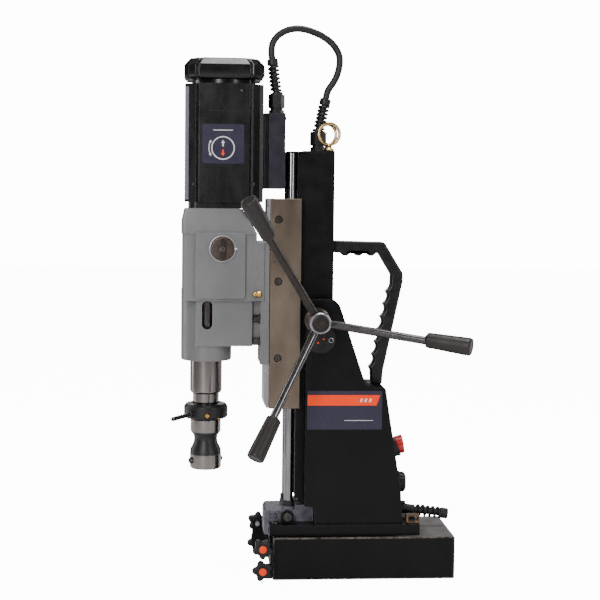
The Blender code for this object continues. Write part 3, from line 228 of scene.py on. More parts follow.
def surface(name, colour, roughness, metallic=0.0, second=None, patch=22.0, streak=(1.0, 1.0, 1.0),
            spread=0.07, grain=(900.0, 0.12), lay=(1.0, 1.0, 1.0), wear=None, specular=0.5, coat=0.0):
    """A worked surface: two tones in patches, uneven gloss, a fine grain, and bare edges where it wears.

    patch is the tone's noise scale and streak its stretch; grain is (scale, strength) and lay its stretch;
    wear is (edge width, colour, roughness, metallic).
    """
    material, tree, shader = start_material(name)
    second = second or tuple(min(1.0, c * 1.35) for c in colour)
    tone = remap(tree, noise(tree, patch, 6.0, streak), 0.36, 0.66)
    base = blend_colours(tree, tone, colour, second)
    gloss = remap(tree, noise(tree, patch * 3.7, 4.0, streak), 0.3, 0.7, roughness - spread,
                  roughness + spread)
    shader.inputs["Metallic"].default_value = metallic
    shader.inputs["Specular IOR Level"].default_value = specular
    shader.inputs["Coat Weight"].default_value = coat
    shader.inputs["Coat Roughness"].default_value = 0.12
    if wear:
        width, bare, bare_roughness, bare_metallic = wear
        mask = edge_mask(tree, width, 130.0)
        base = blend_colours(tree, mask, base, bare)
        gloss = blend_values(tree, mask, gloss, bare_roughness)
        tree.links.new(blend_values(tree, mask, metallic, bare_metallic), shader.inputs["Metallic"])
    tree.links.new(base, shader.inputs["Base Color"])
    tree.links.new(gloss, shader.inputs["Roughness"])
    fine = noise(tree, grain[0], 3.0, lay)
    bump = join_up(tree, "Bump", {"Height": fine, "Strength": grain[1], "Distance": 0.0006})
    tree.links.new(bump.outputs["Normal"], shader.inputs["Normal"])
    return material


def banded(name, colour, dark, low, high, roughness):
    """Turned steel with a dark oxide band between two heights."""
    material, tree, shader = start_material(name)
    height = join_up(tree, "SeparateXYZ", {0: object_place(tree)}).outputs["Z"]
    above = remap(tree, height, low, low + 0.0008)
    below = remap(tree, height, high, high - 0.0008)
    band = times(tree, above, below)
    tone = remap(tree, noise(tree, 40.0, 5.0, (1.0, 1.0, 0.3)), 0.35, 0.65)
    bright = blend_colours(tree, tone, colour, tuple(c * 0.72 for c in colour))
    tree.links.new(blend_colours(tree, band, bright, dark), shader.inputs["Base Color"])
    gloss = remap(tree, noise(tree, 160.0), 0.3, 0.7, roughness - 0.05, roughness + 0.06)
    tree.links.new(blend_values(tree, band, gloss, 0.42), shader.inputs["Roughness"])
    tree.links.new(blend_values(tree, band, 1.0, 0.35), shader.inputs["Metallic"])
    lines = noise(tree, 2600.0, 2.0, (0.03, 0.03, 1.0))
    bump = join_up(tree, "Bump", {"Height": lines, "Strength": 0.10, "Distance": 0.0004})
    tree.links.new(bump.outputs["Normal"], shader.inputs["Normal"])
    return material


def magnet_coating():
    """Black coating over bare-worn edges, with its top face blended to grey in noise patches towards the +X
    end.
    """
    material = surface("magnet_coating", (0.0024, 0.0023, 0.0024), 0.38, 0.10,
                       second=(0.0048, 0.0043, 0.0040), patch=16.0, streak=(1.0, 1.0, 0.5),
                       grain=(1500.0, 0.05), specular=0.16,
                       wear=(0.0024, (0.66, 0.58, 0.50), 0.38, 0.6))
    tree = material.node_tree
    shader = tree.nodes["Principled BSDF"]
    base = shader.inputs["Base Color"].links[0].from_socket
    height = join_up(tree, "SeparateXYZ", {0: object_place(tree)}).outputs["Z"]
    along = join_up(tree, "SeparateXYZ", {0: object_place(tree)}).outputs["X"]
    top = times(tree, remap(tree, height, 0.0604, 0.0608), remap(tree, along, 0.04, 0.10))
    greyed_top = times(tree, top, remap(tree, noise(tree, 34.0, 6.0), 0.25, 0.62, 0.45, 1.0))
    tree.links.new(blend_colours(tree, greyed_top, base, (0.150, 0.143, 0.140)), shader.inputs["Base Color"])
    return material


def pale_floor():
    """A matt floor that the camera sees as bright as the backdrop behind it."""
    material = surface("studio_floor", (0.88, 0.88, 0.88), 0.60, second=(0.86, 0.86, 0.86), patch=1.5,
                       spread=0.02, grain=(300.0, 0.02), specular=0.2)
    tree = material.node_tree
    shader = tree.nodes["Principled BSDF"]
    seen = join_up(tree, "LightPath").outputs["Is Camera Ray"]
    shader.inputs["Emission Color"].default_value = (1.0, 1.0, 1.0, 1.0)
    tree.links.new(times(tree, seen, 12.5), shader.inputs["Emission Strength"])
    return material


# ---------------------------------------------------------------- materials

ROUND = (0.03, 0.03, 1.0)
UPRIGHT = (1.0, 1.0, 0.02)

MATERIALS = {
    "black": surface("black_enamel", (0.0024, 0.0021, 0.0024), 0.36, second=(0.0040, 0.0035, 0.0041),
                     patch=14.0, grain=(620.0, 0.05), specular=0.16,
                     wear=(0.0009, (0.085, 0.080, 0.076), 0.38, 0.4)),
    "motor": surface("motor_enamel", (0.0042, 0.0042, 0.0044), 0.30, second=(0.0064, 0.0064, 0.0068),
                     patch=18.0, streak=(1.0, 1.0, 0.4), grain=(780.0, 0.12), specular=0.30,
                     wear=(0.0006, (0.075, 0.066, 0.058), 0.38, 0.3)),
    "cap": surface("cap_enamel", (0.0036, 0.0036, 0.0038), 0.22, second=(0.0056, 0.0056, 0.0060), patch=18.0,
                   grain=(780.0, 0.06), specular=0.34, wear=(0.0006, (0.110, 0.105, 0.100), 0.34, 0.3)),
    # Painted reflection: the pale violet-grey of a lamp at the left, as seen in the motor's corner chamfers.
    "painted_reflection": surface("painted_reflection_strip", (0.150, 0.142, 0.180), 0.42, second=(0.190, 0.180, 0.220), patch=30.0,
                    grain=(700.0, 0.10), specular=0.4),
    "magnet": magnet_coating(),
    "grey": surface("grey_enamel", (0.152, 0.151, 0.154), 0.40, second=(0.118, 0.117, 0.121), patch=11.0,
                    streak=(1.0, 1.0, 0.6), grain=(680.0, 0.08),
                    wear=(0.0009, (0.34, 0.34, 0.35), 0.36, 0.1)),
    "cast": surface("rough_casting", (0.026, 0.023, 0.033), 0.44, second=(0.110, 0.100, 0.132), patch=60.0,
                    spread=0.14, grain=(420.0, 0.75), wear=(0.0014, (0.36, 0.34, 0.40), 0.33, 0.5)),
    # Its bright edges are partly wear and partly a painted highlight, standing for the light line along the
    # terminal cover's top edge.
    "violet": surface("violet_enamel", (0.0100, 0.0078, 0.0150), 0.36, second=(0.0140, 0.0112, 0.0205),
                      patch=16.0, grain=(700.0, 0.12), specular=0.35,
                      wear=(0.0007, (0.10, 0.095, 0.115), 0.36, 0.2)),
    "plate": surface("burnished_steel", (0.205, 0.160, 0.124), 0.36, 0.85, second=(0.128, 0.094, 0.070),
                     patch=11.0, streak=(1.0, 1.0, 0.45), grain=(1200.0, 0.012), lay=UPRIGHT,
                     wear=(0.0006, (0.60, 0.54, 0.48), 0.25, 1.0)),
    "steel": surface("ground_steel", (0.50, 0.47, 0.50), 0.32, 0.9, second=(0.40, 0.37, 0.41), patch=26.0,
                     grain=(900.0, 0.012)),
    "turned": surface("turned_steel", (0.225, 0.208, 0.199), 0.17, 1.0, second=(0.152, 0.138, 0.130),
                      patch=30.0, streak=(1.0, 1.0, 0.35), spread=0.04, grain=(2600.0, 0.015), lay=ROUND),
    "arbor": banded("arbor_steel", (0.240, 0.221, 0.211), (0.0130, 0.0122, 0.0132), 0.1700, 0.2032, 0.17),
    "chrome": surface("hard_chrome", (0.24, 0.228, 0.243), 0.14, 1.0, second=(0.19, 0.181, 0.194), patch=30.0,
                      spread=0.03, grain=(1800.0, 0.006), lay=ROUND),
    "dark_steel": surface("oiled_steel", (0.040, 0.033, 0.028), 0.30, 0.8, second=(0.062, 0.050, 0.042),
                          patch=34.0, grain=(900.0, 0.015), wear=(0.0005, (0.36, 0.32, 0.29), 0.26, 1.0)),
    # The three levers are one steel, given painted shade, a painted half-light and a painted highlight as
    # their colours.
    "lever_dark": surface("lever_steel_painted_shade", (0.022, 0.0175, 0.0155), 0.32, 0.6, second=(0.034, 0.026, 0.022),
                          patch=34.0, grain=(900.0, 0.015)),
    "lever_blue": surface("lever_steel_painted_half_light", (0.050, 0.047, 0.050), 0.26, 0.8, second=(0.078, 0.072, 0.074),
                          patch=34.0, grain=(900.0, 0.012)),
    "lever_bright": surface("lever_steel_painted_highlight", (0.135, 0.128, 0.128), 0.20, 0.95, second=(0.185, 0.174, 0.172),
                            patch=30.0, grain=(900.0, 0.010)),
    "selector": surface("browned_steel", (0.034, 0.021, 0.016), 0.38, 0.4, second=(0.062, 0.040, 0.030),
                        patch=90.0, grain=(1200.0, 0.08), wear=(0.0006, (0.34, 0.28, 0.23), 0.32, 0.8)),
    "selector_bar": surface("dark_bar", (0.016, 0.0115, 0.0095), 0.34, 0.4, second=(0.026, 0.019, 0.016),
                            patch=90.0, grain=(1200.0, 0.06), wear=(0.0006, (0.26, 0.21, 0.18), 0.30, 0.8)),
    "selector_rim": surface("bare_rim", (0.34, 0.335, 0.34), 0.34, 0.3, second=(0.28, 0.275, 0.28),
                            patch=90.0, grain=(900.0, 0.03)),
    "screw": surface("black_screw", (0.040, 0.036, 0.036), 0.34, 0.85, second=(0.075, 0.068, 0.064),
                     patch=160.0, grain=(1600.0, 0.15), wear=(0.0003, (0.45, 0.42, 0.40), 0.3, 1.0)),
    "zinc": surface("yellow_zinc_plate", (0.55, 0.36, 0.13), 0.20, 1.0, second=(0.66, 0.48, 0.25), patch=75.0,
                    spread=0.07, grain=(900.0, 0.03)),
    "brass": surface("brass", (0.62, 0.38, 0.09), 0.22, 1.0, second=(0.50, 0.29, 0.06), patch=120.0,
                     grain=(1800.0, 0.02)),
    # The bright bronze edges are partly wear and partly painted highlights on the strap lug.
    "bronze": surface("bronze_wear_and_painted_highlight", (0.040, 0.031, 0.026), 0.34, 0.8, second=(0.22, 0.12, 0.055),
                      patch=120.0, grain=(900.0, 0.25), wear=(0.0008, (0.80, 0.46, 0.20), 0.25, 1.0)),
    "plastic": surface("moulded_plastic", (0.0058, 0.0056, 0.0060), 0.42, second=(0.0080, 0.0077, 0.0083),
                       patch=40.0, grain=(1900.0, 0.18), specular=0.32),
    "handle": surface("handle_plastic", (0.0050, 0.0048, 0.0054), 0.33, second=(0.0074, 0.0070, 0.0080),
                      patch=24.0, grain=(1300.0, 0.14), specular=0.32),
    "grip": surface("grip_plastic", (0.0145, 0.0121, 0.0112), 0.44, second=(0.0210, 0.0173, 0.0157),
                    patch=46.0, grain=(2100.0, 0.12), specular=0.30,
                    wear=(0.0010, (0.050, 0.038, 0.032), 0.40, 0.0)),
    "cable": surface("cable_sheath", (0.0052, 0.0052, 0.0055), 0.44, second=(0.0078, 0.0078, 0.0083),
                     patch=60.0, grain=(2600.0, 0.16), specular=0.35),
    "red": surface("red_plastic", (0.52, 0.0085, 0.0095), 0.30, second=(0.43, 0.0065, 0.0075), patch=50.0,
                   spread=0.05, grain=(1500.0, 0.08), coat=0.3),
    "orange": surface("orange_plastic", (0.92, 0.056, 0.001), 0.36, second=(0.80, 0.044, 0.001), patch=70.0,
                      spread=0.05, grain=(1500.0, 0.08), specular=0.2),
    "green": surface("green_gasket", (0.006, 0.044, 0.036), 0.5, second=(0.009, 0.056, 0.046), patch=70.0),
    "label": surface("label_film", (0.0225, 0.0205, 0.0400), 0.30, second=(0.0270, 0.0245, 0.0470),
                     patch=26.0, spread=0.05, grain=(1700.0, 0.05), specular=0.3),
    "label_orange": surface("label_orange_print", (1.0, 0.050, 0.001), 0.36, second=(0.92, 0.042, 0.001),
                            patch=30.0, spread=0.04, grain=(1700.0, 0.04), specular=0.2),
    "label_navy": surface("label_navy_print", (0.004, 0.007, 0.015), 0.34, second=(0.006, 0.009, 0.018),
                          patch=30.0, spread=0.04, grain=(1700.0, 0.04)),
    "white": surface("white_print", (0.66, 0.65, 0.64), 0.40, second=(0.58, 0.57, 0.56), patch=60.0,
                     grain=(1700.0, 0.04)),
    "copper": surface("coil_winding", (0.50, 0.20, 0.09), 0.36, 0.9, second=(0.38, 0.14, 0.06), patch=60.0,
                      grain=(1500.0, 0.5), lay=(0.1, 0.1, 1.0)),
    "board": surface("circuit_board", (0.020, 0.130, 0.050), 0.42, second=(0.026, 0.155, 0.062), patch=90.0),
    "floor": pale_floor(),
}


# ---------------------------------------------------------------- mesh tools

def lift(point, height, axis):
    """An outline's point at a height along an axis, which is a letter or a matrix."""
    a, b = point
    if axis == "X":
        return Vector((height, a, b))
    if axis == "Y":
        return Vector((a, height, b))
    if axis == "Z":
        return Vector((a, b, height))
    return axis @ Vector((a, b, height))


def aim(place, axis):
    """The matrix that takes a local Z axis to the given axis, at the given place."""
    turn = Vector((0, 0, 1)).rotation_difference(Vector(axis)).to_matrix().to_4x4()
    return Matrix.Translation(Vector(place)) @ turn


def circle(radius, centre=(0.0, 0.0), count=48, phase=0.0):
    turns = [phase + 2 * math.pi * i / count for i in range(count)]
    return [(centre[0] + radius * math.cos(t), centre[1] + radius * math.sin(t)) for t in turns]


def fillet(points, steps=6):
    """An outline from (x, y, radius) corners; a corner with no radius stays sharp."""
    result = []
    for i, corner in enumerate(points):
        here = Vector(corner[:2])
        radius = corner[2] if len(corner) > 2 else 0.0
        if radius <= 0.0:
            result.append(tuple(here))
            continue
        back = (Vector(points[i - 1][:2]) - here).normalized()
        ahead = (Vector(points[(i + 1) % len(points)][:2]) - here).normalized()
        half = back.angle(ahead) / 2
        centre = here + (back + ahead).normalized() * (radius / math.sin(half))
        first = here + back * (radius / math.tan(half)) - centre
        last = here + ahead * (radius / math.tan(half)) - centre
        turn = first.angle_signed(last)
        for step in range(steps + 1):
            result.append(tuple(centre + Matrix.Rotation(-turn * step / steps, 2) @ first))
    return result


def rounded_rectangle(half_a, half_b, radius, centre=(0.0, 0.0), steps=6):
    a, b = centre
    return fillet([(a - half_a, b - half_b, radius), (a + half_a, b - half_b, radius),
                   (a + half_a, b + half_b, radius), (a - half_a, b + half_b, radius)], steps)


def inset(outline, distance):
    """The outline moved inwards by a distance, whichever way round it runs."""
    area = sum(a[0] * b[1] - b[0] * a[1] for a, b in zip(outline, outline[1:] + outline[:1]))
    side = 1.0 if area > 0 else -1.0
    result = []
    for i, point in enumerate(outline):
        here = Vector(point)
        before = (here - Vector(outline[i - 1])).normalized()
        after = (Vector(outline[(i + 1) % len(outline)]) - here).normalized()
        along = (before + after).normalized()
        inward = Vector((-along.y, along.x)) * side
        share = max(0.4, along.dot(after))
        result.append(tuple(here + inward * (distance / share)))
    return result


class Shape:
    """One visible piece, made of closed shells that may differ in material."""

    def __init__(self, name):
        self.name = name
        self.mesh = bmesh.new()
        self.materials = []

    def _material(self, key):
        if key not in self.materials:
            self.materials.append(key)
        return self.materials.index(key)

    def _rings(self, rings, key, closed=False):
        index = self._material(key)
        made = [[self.mesh.verts.new(p) for p in ring] for ring in rings]
        pairs = list(zip(made, made[1:]))
        if closed:
            pairs.append((made[-1], made[0]))
        for first, second in pairs:
            count = max(len(first), len(second))
            for i in range(count):
                j = (i + 1) % count
                if len(first) == 1 and len(second) == 1:
                    continue
                if len(first) == 1:
                    corners = (first[0], second[j], second[i])
                elif len(second) == 1:
                    corners = (first[i], first[j], second[0])
                else:
                    corners = (first[i], first[j], second[j], second[i])
                self.mesh.faces.new(corners).material_index = index
        if not closed:
            for ring in (made[0], made[-1]):
                if len(ring) > 1:
                    self.mesh.faces.new(ring).material_index = index
        return self

    def prism(self, outline, low, high, axis, key, edge=0.0, steps=3):
        """An outline extruded along an axis, with its two rims rounded by edge."""
        low, high = min(low, high), max(low, high)
        levels = [(0.0, low), (0.0, high)]
        if edge > 0.0:
            curve = [math.pi / 2 * i / steps for i in range(steps + 1)]
            levels = [(edge * (1 - math.sin(a)), low + edge * (1 - math.cos(a))) for a in curve]
            levels += [(edge * (1 - math.sin(a)), high - edge * (1 - math.cos(a))) for a in reversed(curve)]
        rings = []
        for distance, height in levels:
            shape = inset(outline, distance) if distance > 0.0 else outline
            rings.append([lift(p, height, axis) for p in shape])
        return self._rings(rings, key)

    def box(self, low, high, key, edge=0.0):
        outline = [(low[0], low[1]), (high[0], low[1]), (high[0], high[1]), (low[0], high[1])]
        if edge > 0.0:
            outline = fillet([(*p, edge) for p in outline], 3)
        return self.prism(outline, low[2], high[2], "Z", key, edge)

    def turned(self, profile, place, axis, key, count=48, closed=False):
        """A turned solid from (radius, height) or (radius, height, sides) points along the axis."""
        frame_of = aim(place, axis)
        rings = []
        for point in profile:
            radius, height = point[:2]
            if radius == 0.0:
                rings.append([frame_of @ Vector((0, 0, height))])
                continue
            ring = circle(1.0, count=count)
            if len(point) > 2:
                ring = [scaled_to_polygon(p, point[2]) for p in ring]
            rings.append([frame_of @ Vector((x * radius, y * radius, height)) for x, y in ring])
        return self._rings(rings, key, closed)

    def tube(self, points, radius, key, sides=12, closed=False):
        """A round bar along points; radius is a number, or one for each point."""
        points = [Vector(p) for p in points]
        radii = radius if isinstance(radius, (list, tuple)) else [radius] * len(points)
        count = len(points)
        normal = None
        rings = []
        for i, point in enumerate(points):
            if closed:
                along = points[(i + 1) % count] - points[i - 1]
            else:
                along = points[min(i + 1, count - 1)] - points[max(i - 1, 0)]
            along.normalize()
            if normal is None:
                normal = along.orthogonal()
            normal = (normal - along * normal.dot(along)).normalized()
            other = along.cross(normal)
            rings.append([point + (normal * x + other * y) * radii[i] for x, y in circle(1.0, count=sides)])
        return self._rings(rings, key, closed)

    def done(self, body, slot, *replaced):
        bmesh.ops.recalc_face_normals(self.mesh, faces=self.mesh.faces)
        mesh = bpy.data.meshes.new(self.name)
        self.mesh.to_mesh(mesh)
        self.mesh.free()
        mesh.shade_smooth()
        mesh.set_sharp_from_angle(angle=math.radians(38))
        for key in self.materials:
            mesh.materials.append(MATERIALS[key])
        obj = bpy.data.objects.new(self.name, mesh)
        bpy.context.scene.collection.objects.link(obj)
        normals = obj.modifiers.new("normals", "WEIGHTED_NORMAL")
        normals.keep_sharp = True
        if body:
            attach(obj, body)
        if replaced:
            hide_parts(*replaced)
        return obj


def scaled_to_polygon(point, sides):
    """A point of the unit circle, moved onto the polygon with that many sides inside it."""
    turn = math.atan2(point[1], point[0]) % (2 * math.pi / sides) - math.pi / sides
    share = math.cos(math.pi / sides) / math.cos(turn)
    return (point[0] * share, point[1] * share)


def smooth_route(points, steps=4):
    """A smooth curve through the points."""
    route = [Vector(p) for p in points]
    padded = [2 * route[0] - route[1]] + route + [2 * route[-1] - route[-2]]
    result = []
    for i in range(len(route) - 1):
        a, b, c, d = padded[i:i + 4]
        for step in range(steps):
            t = step / steps
            result.append(0.5 * (2 * b + (c - a) * t + (2 * a - 5 * b + 4 * c - d) * t * t
                                 + (3 * b - a - 3 * c + d) * t ** 3))
    return result + [route[-1]]


def refine(name, key, width=0.0008, segments=2, angle=42.0):
    """A CAD node's finish: its material, softened edges and smooth shading; its shape stays."""
    obj = NODES[name]
    mesh = obj.data
    mesh.shade_smooth()
    for attribute in ("custom_normal", "sharp_edge"):
        if attribute in mesh.attributes:
            mesh.attributes.remove(mesh.attributes[attribute])
    obj.material_slots[0].material = MATERIALS[key]
    weld = obj.modifiers.new("weld", "WELD")
    weld.merge_threshold = 0.000002
    flat = obj.modifiers.new("flat", "DECIMATE")
    flat.decimate_type = "DISSOLVE"
    flat.angle_limit = math.radians(0.6)
    bevel = obj.modifiers.new("edge", "BEVEL")
    bevel.width = width
    bevel.segments = segments
    bevel.limit_method = "ANGLE"
    bevel.angle_limit = math.radians(angle)
    bevel.harden_normals = False
    obj.modifiers.new("normals", "WEIGHTED_NORMAL")
    return obj


# ---------------------------------------------------------------- cable and glands

def build_cable():
    path = smooth_route(CABLE_POINTS, 4)
    cable = Shape("motor_cable_sheath").tube(path, CABLE_DIAMETER / 2 - 0.0001, "cable", 20)
    cable = cable.done(None, None, "motor_cable")
    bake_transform(cable)


def spiral(shape, place, axis, start, end, radius, wire, turns):
    """The open coil of a bend protector, over a thin core."""
    frame_of = aim(place, axis)
    count = turns * 16
    points = []
    for i in range(count + 1):
        turn = 2 * math.pi * turns * i / count
        height = start + (end - start) * i / count
        points.append(frame_of @ Vector((radius * math.cos(turn), radius * math.sin(turn), height)))
    shape.tube(points, wire, "plastic", 8)


def build_cable_gland(name, node, place, top, tip, body):
    """Hexagon, neck, hexagon nut, then the coil that leans towards the cable."""
    x, y, z = place
    gland = Shape(name)
    gland.turned([(0.0, 0.0003), (0.0100, 0.0003), (0.0112, 0.0010, 6), (0.0112, 0.0055, 6), (0.0100, 0.0062),
                  (0.0084, 0.0062), (0.0084, 0.0088), (0.0106, 0.0088), (0.0118, 0.0096, 6),
                  (0.0118, top - z - 0.0012, 6), (0.0104, top - z), (0.0, top - z)],
                 (x, y, z), (0, 0, 1), "plastic", 60)
    ribs = 18
    for i in range(ribs):
        turn = 2 * math.pi * i / ribs
        centre = (x + 0.0080 * math.cos(turn), y + 0.0080 * math.sin(turn))
        gland.prism(circle(0.0007, centre, 6), z + 0.0062, z + 0.0088, "Z", "plastic")
    start = Vector((x, y, top - 0.0005))
    axis = Vector(tip) - start
    length = axis.length
    cap = length - 0.0095
    gland.turned([(0.0, 0.0), (0.0092, 0.0), (0.0088, 0.0030), (0.0056, 0.0038), (0.0048, 0.0044),
                  (0.0046, cap), (0.0074, cap + 0.0004), (0.0079, cap + 0.0020), (0.0079, length - 0.0020),
                  (0.0070, length - 0.0002), (0.0, length - 0.0002)], start, axis, "plastic", 32)
    spiral(gland, start, axis, 0.0058, cap - 0.0012, 0.0066, 0.0019, 6)
    gland.done(body, "black_plastic", node)


def rear_x(z):
    """The rear face of the stand's housing at a height, below its shoulder."""
    x, bend = REAR_BEND
    steep = (x - REAR_SHOULDER[0]) / (REAR_SHOULDER[1] - bend)
    return x + (bend - z) * (steep if z > bend else REAR_LEAN)


def build_mains_gland():
    """The mains cable's gland, with a coil that has no cable in it."""
    slope = math.radians(-7.3)
    axis = Vector((math.cos(slope), 0.0, math.sin(slope)))
    base = Vector((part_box("mains_gland")[0].x + 0.01045, 0.0, 0.0889))
    gland = Shape("mains_gland_relief")
    gland.turned([(0.0, -0.0095), (0.0041, -0.0095), (0.0041, 0.0), (0.0084, 0.0), (0.0092, 0.0008, 6),
                  (0.0092, 0.0044, 6), (0.0082, 0.0050), (0.0073, 0.0055), (0.0071, 0.0222), (0.0064, 0.0230),
                  (0.0050, 0.0236), (0.0047, 0.0620), (0.0076, 0.0623), (0.0080, 0.0632), (0.0078, 0.0722),
                  (0.0072, 0.0732), (0.0040, 0.0732), (0.0038, 0.0670), (0.0, 0.0665)], base, axis,
                 "plastic", 42)
    spiral(gland, base, axis, 0.0250, 0.0622, 0.0068, 0.0020, 5)
    gland.done("stand", "black_plastic", "mains_gland")


# ---------------------------------------------------------------- fasteners

def socket_screw(shape, place, axis, radius, height):
    """A cap screw's head: a chamfered drum with a hexagon recess."""
    recess = radius * 0.56
    shape.turned([(0.0, 0.0), (radius, 0.0), (radius, height - radius * 0.12), (radius * 0.90, height),
                  (recess, height, 6), (recess, height * 0.45, 6), (0.0, height * 0.40)], place, axis,
                 "screw", 24)


def button_screw(shape, place, axis, radius, height):
    """A screw with a low domed head and a hexagon recess."""
    shape.turned([(0.0, 0.0), (radius, 0.0), (radius, height * 0.25), (radius * 0.86, height * 0.70),
                  (radius * 0.50, height), (radius * 0.40, height, 6), (radius * 0.38, height * 0.4, 6),
                  (0.0, height * 0.35)], place, axis, "screw", 24)


# ---------------------------------------------------------------- base and stand

def refine_stand():
    for name, key, width in (
            ("magnet_block", "magnet", 0.0003), ("magnet_coil_front", "copper", 0.0005),
            ("magnet_coil_rear", "copper", 0.0005), ("stand_housing", "black", 0.0012),
            ("control_panel", "plastic", 0.0006), ("control_board", "board", 0.0003),
            ("column", "black", 0.0008), ("column_cap", "black", 0.0007), ("rod_base", "cast", 0.0013),
            ("guide_rod_left", "chrome", 0.0006), ("guide_rod_right", "chrome", 0.0006),
            ("rod_collar_left", "plastic", 0.0004), ("rod_collar_right", "plastic", 0.0004),
            ("strap_lug", "bronze", 0.0007), ("lock_dial", "plastic", 0.0004),
            ("pinion_bush_left", "bronze", 0.0003), ("pinion_bush_right", "bronze", 0.0003),
            ("knob_bracket_left", "black", 0.0007), ("knob_bracket_right", "black", 0.0007),
            ("estop_collar", "plastic", 0.0004)):
        refine(name, key, width)


def build_star_knob(name):
    """Five-lobed knob with a coloured dome over its screw; each knob stands at its own turn."""
    low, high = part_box(name)
    side = 1.0 if high.y > 0 else -1.0
    joint = JOINTS[name.split("_")[2] + "_" + name.split("_")[3] + "_knob_turn"]
    x, _, z = joint["pos_m"]
    outer, tip = 0.0147, max(abs(low.y), abs(high.y))
    phase = STAR_PHASES[name]
    points = []
    for i in range(80):
        turn = 2 * math.pi * i / 80
        r = outer - 0.0043 * (0.5 - 0.5 * math.cos(5 * (turn - phase) + math.pi)) ** 1.15
        points.append((x + r * math.sin(turn), z + r * math.cos(turn)))
    knob = Shape(name + "_grip")
    inner, face = tip - 0.0135, tip - 0.0025
    knob.prism(points, side * inner, side * face, "Y", "plastic", 0.0026, 4)
    knob.turned([(0.0, inner - 0.0010), (0.0075, inner - 0.0010), (0.0075, face - 0.0010),
                 (0.0066, face + 0.0006), (0.0, face + 0.0006)], (x, 0.0, z), (0, side, 0), "plastic", 32)
    knob.turned([(0.0, face), (0.0053, face), (0.0053, tip - 0.0012), (0.0042, tip - 0.0004), (0.0, tip)],
                (x, 0.0, z), (0, side, 0), "orange", 32)
    knob.turned([(0.0, 0.0640), (0.0026, 0.0640), (0.0034, 0.0648), (0.0034, inner), (0.0, inner)],
                (x, 0.0, z), (0, side, 0), "steel", 24)
    knob.done(joint["child"], "black_plastic", name)


def build_rear_controls():
    """Stop button and its gasket, speed knob with a pointer, and the panel's screws and small cap."""
    normal = -Vector(JOINTS["stop_button_press"]["axis"]).normalized()
    base = Vector(STOP_PLACE)
    button = Shape("stop_button_head")
    button.turned([(0.0, -0.0041), (0.0057, -0.0041), (0.0057, 0.0042), (0.0112, 0.0046), (0.0118, 0.0054),
                   (0.0124, 0.0090), (0.0129, 0.0094), (0.0128, 0.0099), (0.0137, 0.0168), (0.0136, 0.0178),
                   (0.0129, 0.0187), (0.0060, 0.0194), (0.0, 0.0194)], base, normal, "red", 64)
    button.done("stop_button", "red_plastic", "estop_button")
    gasket = Shape("stop_button_gasket")
    gasket.turned([(0.0166, 0.0001), (0.0178, 0.0001), (0.0178, 0.0010), (0.0166, 0.0010)], base, normal,
                  "green", 56, closed=True)
    gasket.done("stand", "black_plastic")
    place = Vector(JOINTS["speed_knob_turn"]["pos_m"])
    outward = Vector(JOINTS["speed_knob_turn"]["axis"]).normalized()
    flutes = []
    for i in range(120):
        turn = 2 * math.pi * i / 120
        radius = 0.0148 - 0.0005 * (0.5 + 0.5 * math.cos(20 * turn))
        flutes.append((radius * math.cos(turn), radius * math.sin(turn)))
    knob = Shape("speed_knob_cap")
    knob.turned([(0.0, 0.0002), (0.0158, 0.0002), (0.0164, 0.0008), (0.0164, 0.0018), (0.0158, 0.0025),
                 (0.0, 0.0025)], place, outward, "plastic", 64)
    knob.prism(flutes, 0.0022, 0.0092, aim(place, outward), "plastic", 0.0007)
    knob.turned([(0.0, 0.0088), (0.0141, 0.0088), (0.0138, 0.0097), (0.0122, 0.0110), (0.0116, 0.0113),
                 (0.0, 0.0113)], place, outward, "plastic", 64)
    knob.prism(rounded_rectangle(0.0010, 0.0048, 0.0004, (0.0, 0.0058)), 0.0110, 0.0116, aim(place, outward),
               "white")
    knob.turned([(0.0, -0.0118), (0.0030, -0.0118), (0.0030, 0.0010), (0.0, 0.0010)], place, outward,
                "steel", 24)
    knob.done("speed_knob", "black_plastic", "rotary_knob")
    fittings = Shape("panel_screws")
    for y in (-0.0325, 0.0325):
        for z in (0.2500, 0.1010):
            slope = normal if z > REAR_BEND[1] else Vector((0.9987, 0.0, 0.0508))
            button_screw(fittings, (rear_x(z) - 0.0001, y, z), slope, 0.0027, 0.0017)
    fittings.turned([(0.0, 0.0), (0.0035, 0.0), (0.0035, 0.0014), (0.0030, 0.0018), (0.0030, 0.0086),
                     (0.0025, 0.0094), (0.0, 0.0095)], (rear_x(0.1010) - 0.0002, -0.0235, 0.1015), (1, 0, 0),
                    "plastic", 28)
    fittings.done("stand", "dark_steel")


def handle_outline():
    """Outer edge, foot, then the inner edge with a scallop for each finger, back to the column."""
    low_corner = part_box("carry_handle")[0]
    column_side, foot = low_corner.x, low_corner.z
    outer = [(column_side, 0.4796), (0.0300, 0.4782, 0.008), (0.0577, 0.4330, 0.008), (0.0577, 0.4215, 0.012),
             (0.0309, 0.2928, 0.010), (0.0294, foot), (0.0137, foot)]
    low, high = Vector((0.0093, 0.297)), Vector((0.0325, 0.407))
    scallops, steps = 6, 10
    bumps = []
    for i in range(-steps // 2, scallops * steps + steps // 2 + 1):
        here = low + (high - low) * (i / (scallops * steps))
        bumps.append((here.x + 0.0050 * abs(math.sin(math.pi * i / steps)) ** 0.8, here.y))
    corner = [(0.0404, 0.4305, 0.008), (0.0218, 0.4612, 0.006)]
    bar = []
    for peak in (0.0112, -0.0075, -0.0263):
        bar += [(peak + 0.0078, 0.4620, 0.002), (peak + 0.0026, 0.4578, 0.002),
                (peak - 0.0026, 0.4578, 0.002), (peak - 0.0078, 0.4620, 0.002)]
    return fillet(outer + bumps + corner + bar + [(column_side, 0.4622)], 5)


def build_handle():
    low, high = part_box("carry_handle")
    handle = Shape("carry_handle_moulding")
    handle.prism(handle_outline(), low.y, high.y, "Y", "handle", 0.0036, 5)
    handle.done("stand", "black_plastic", "carry_handle")


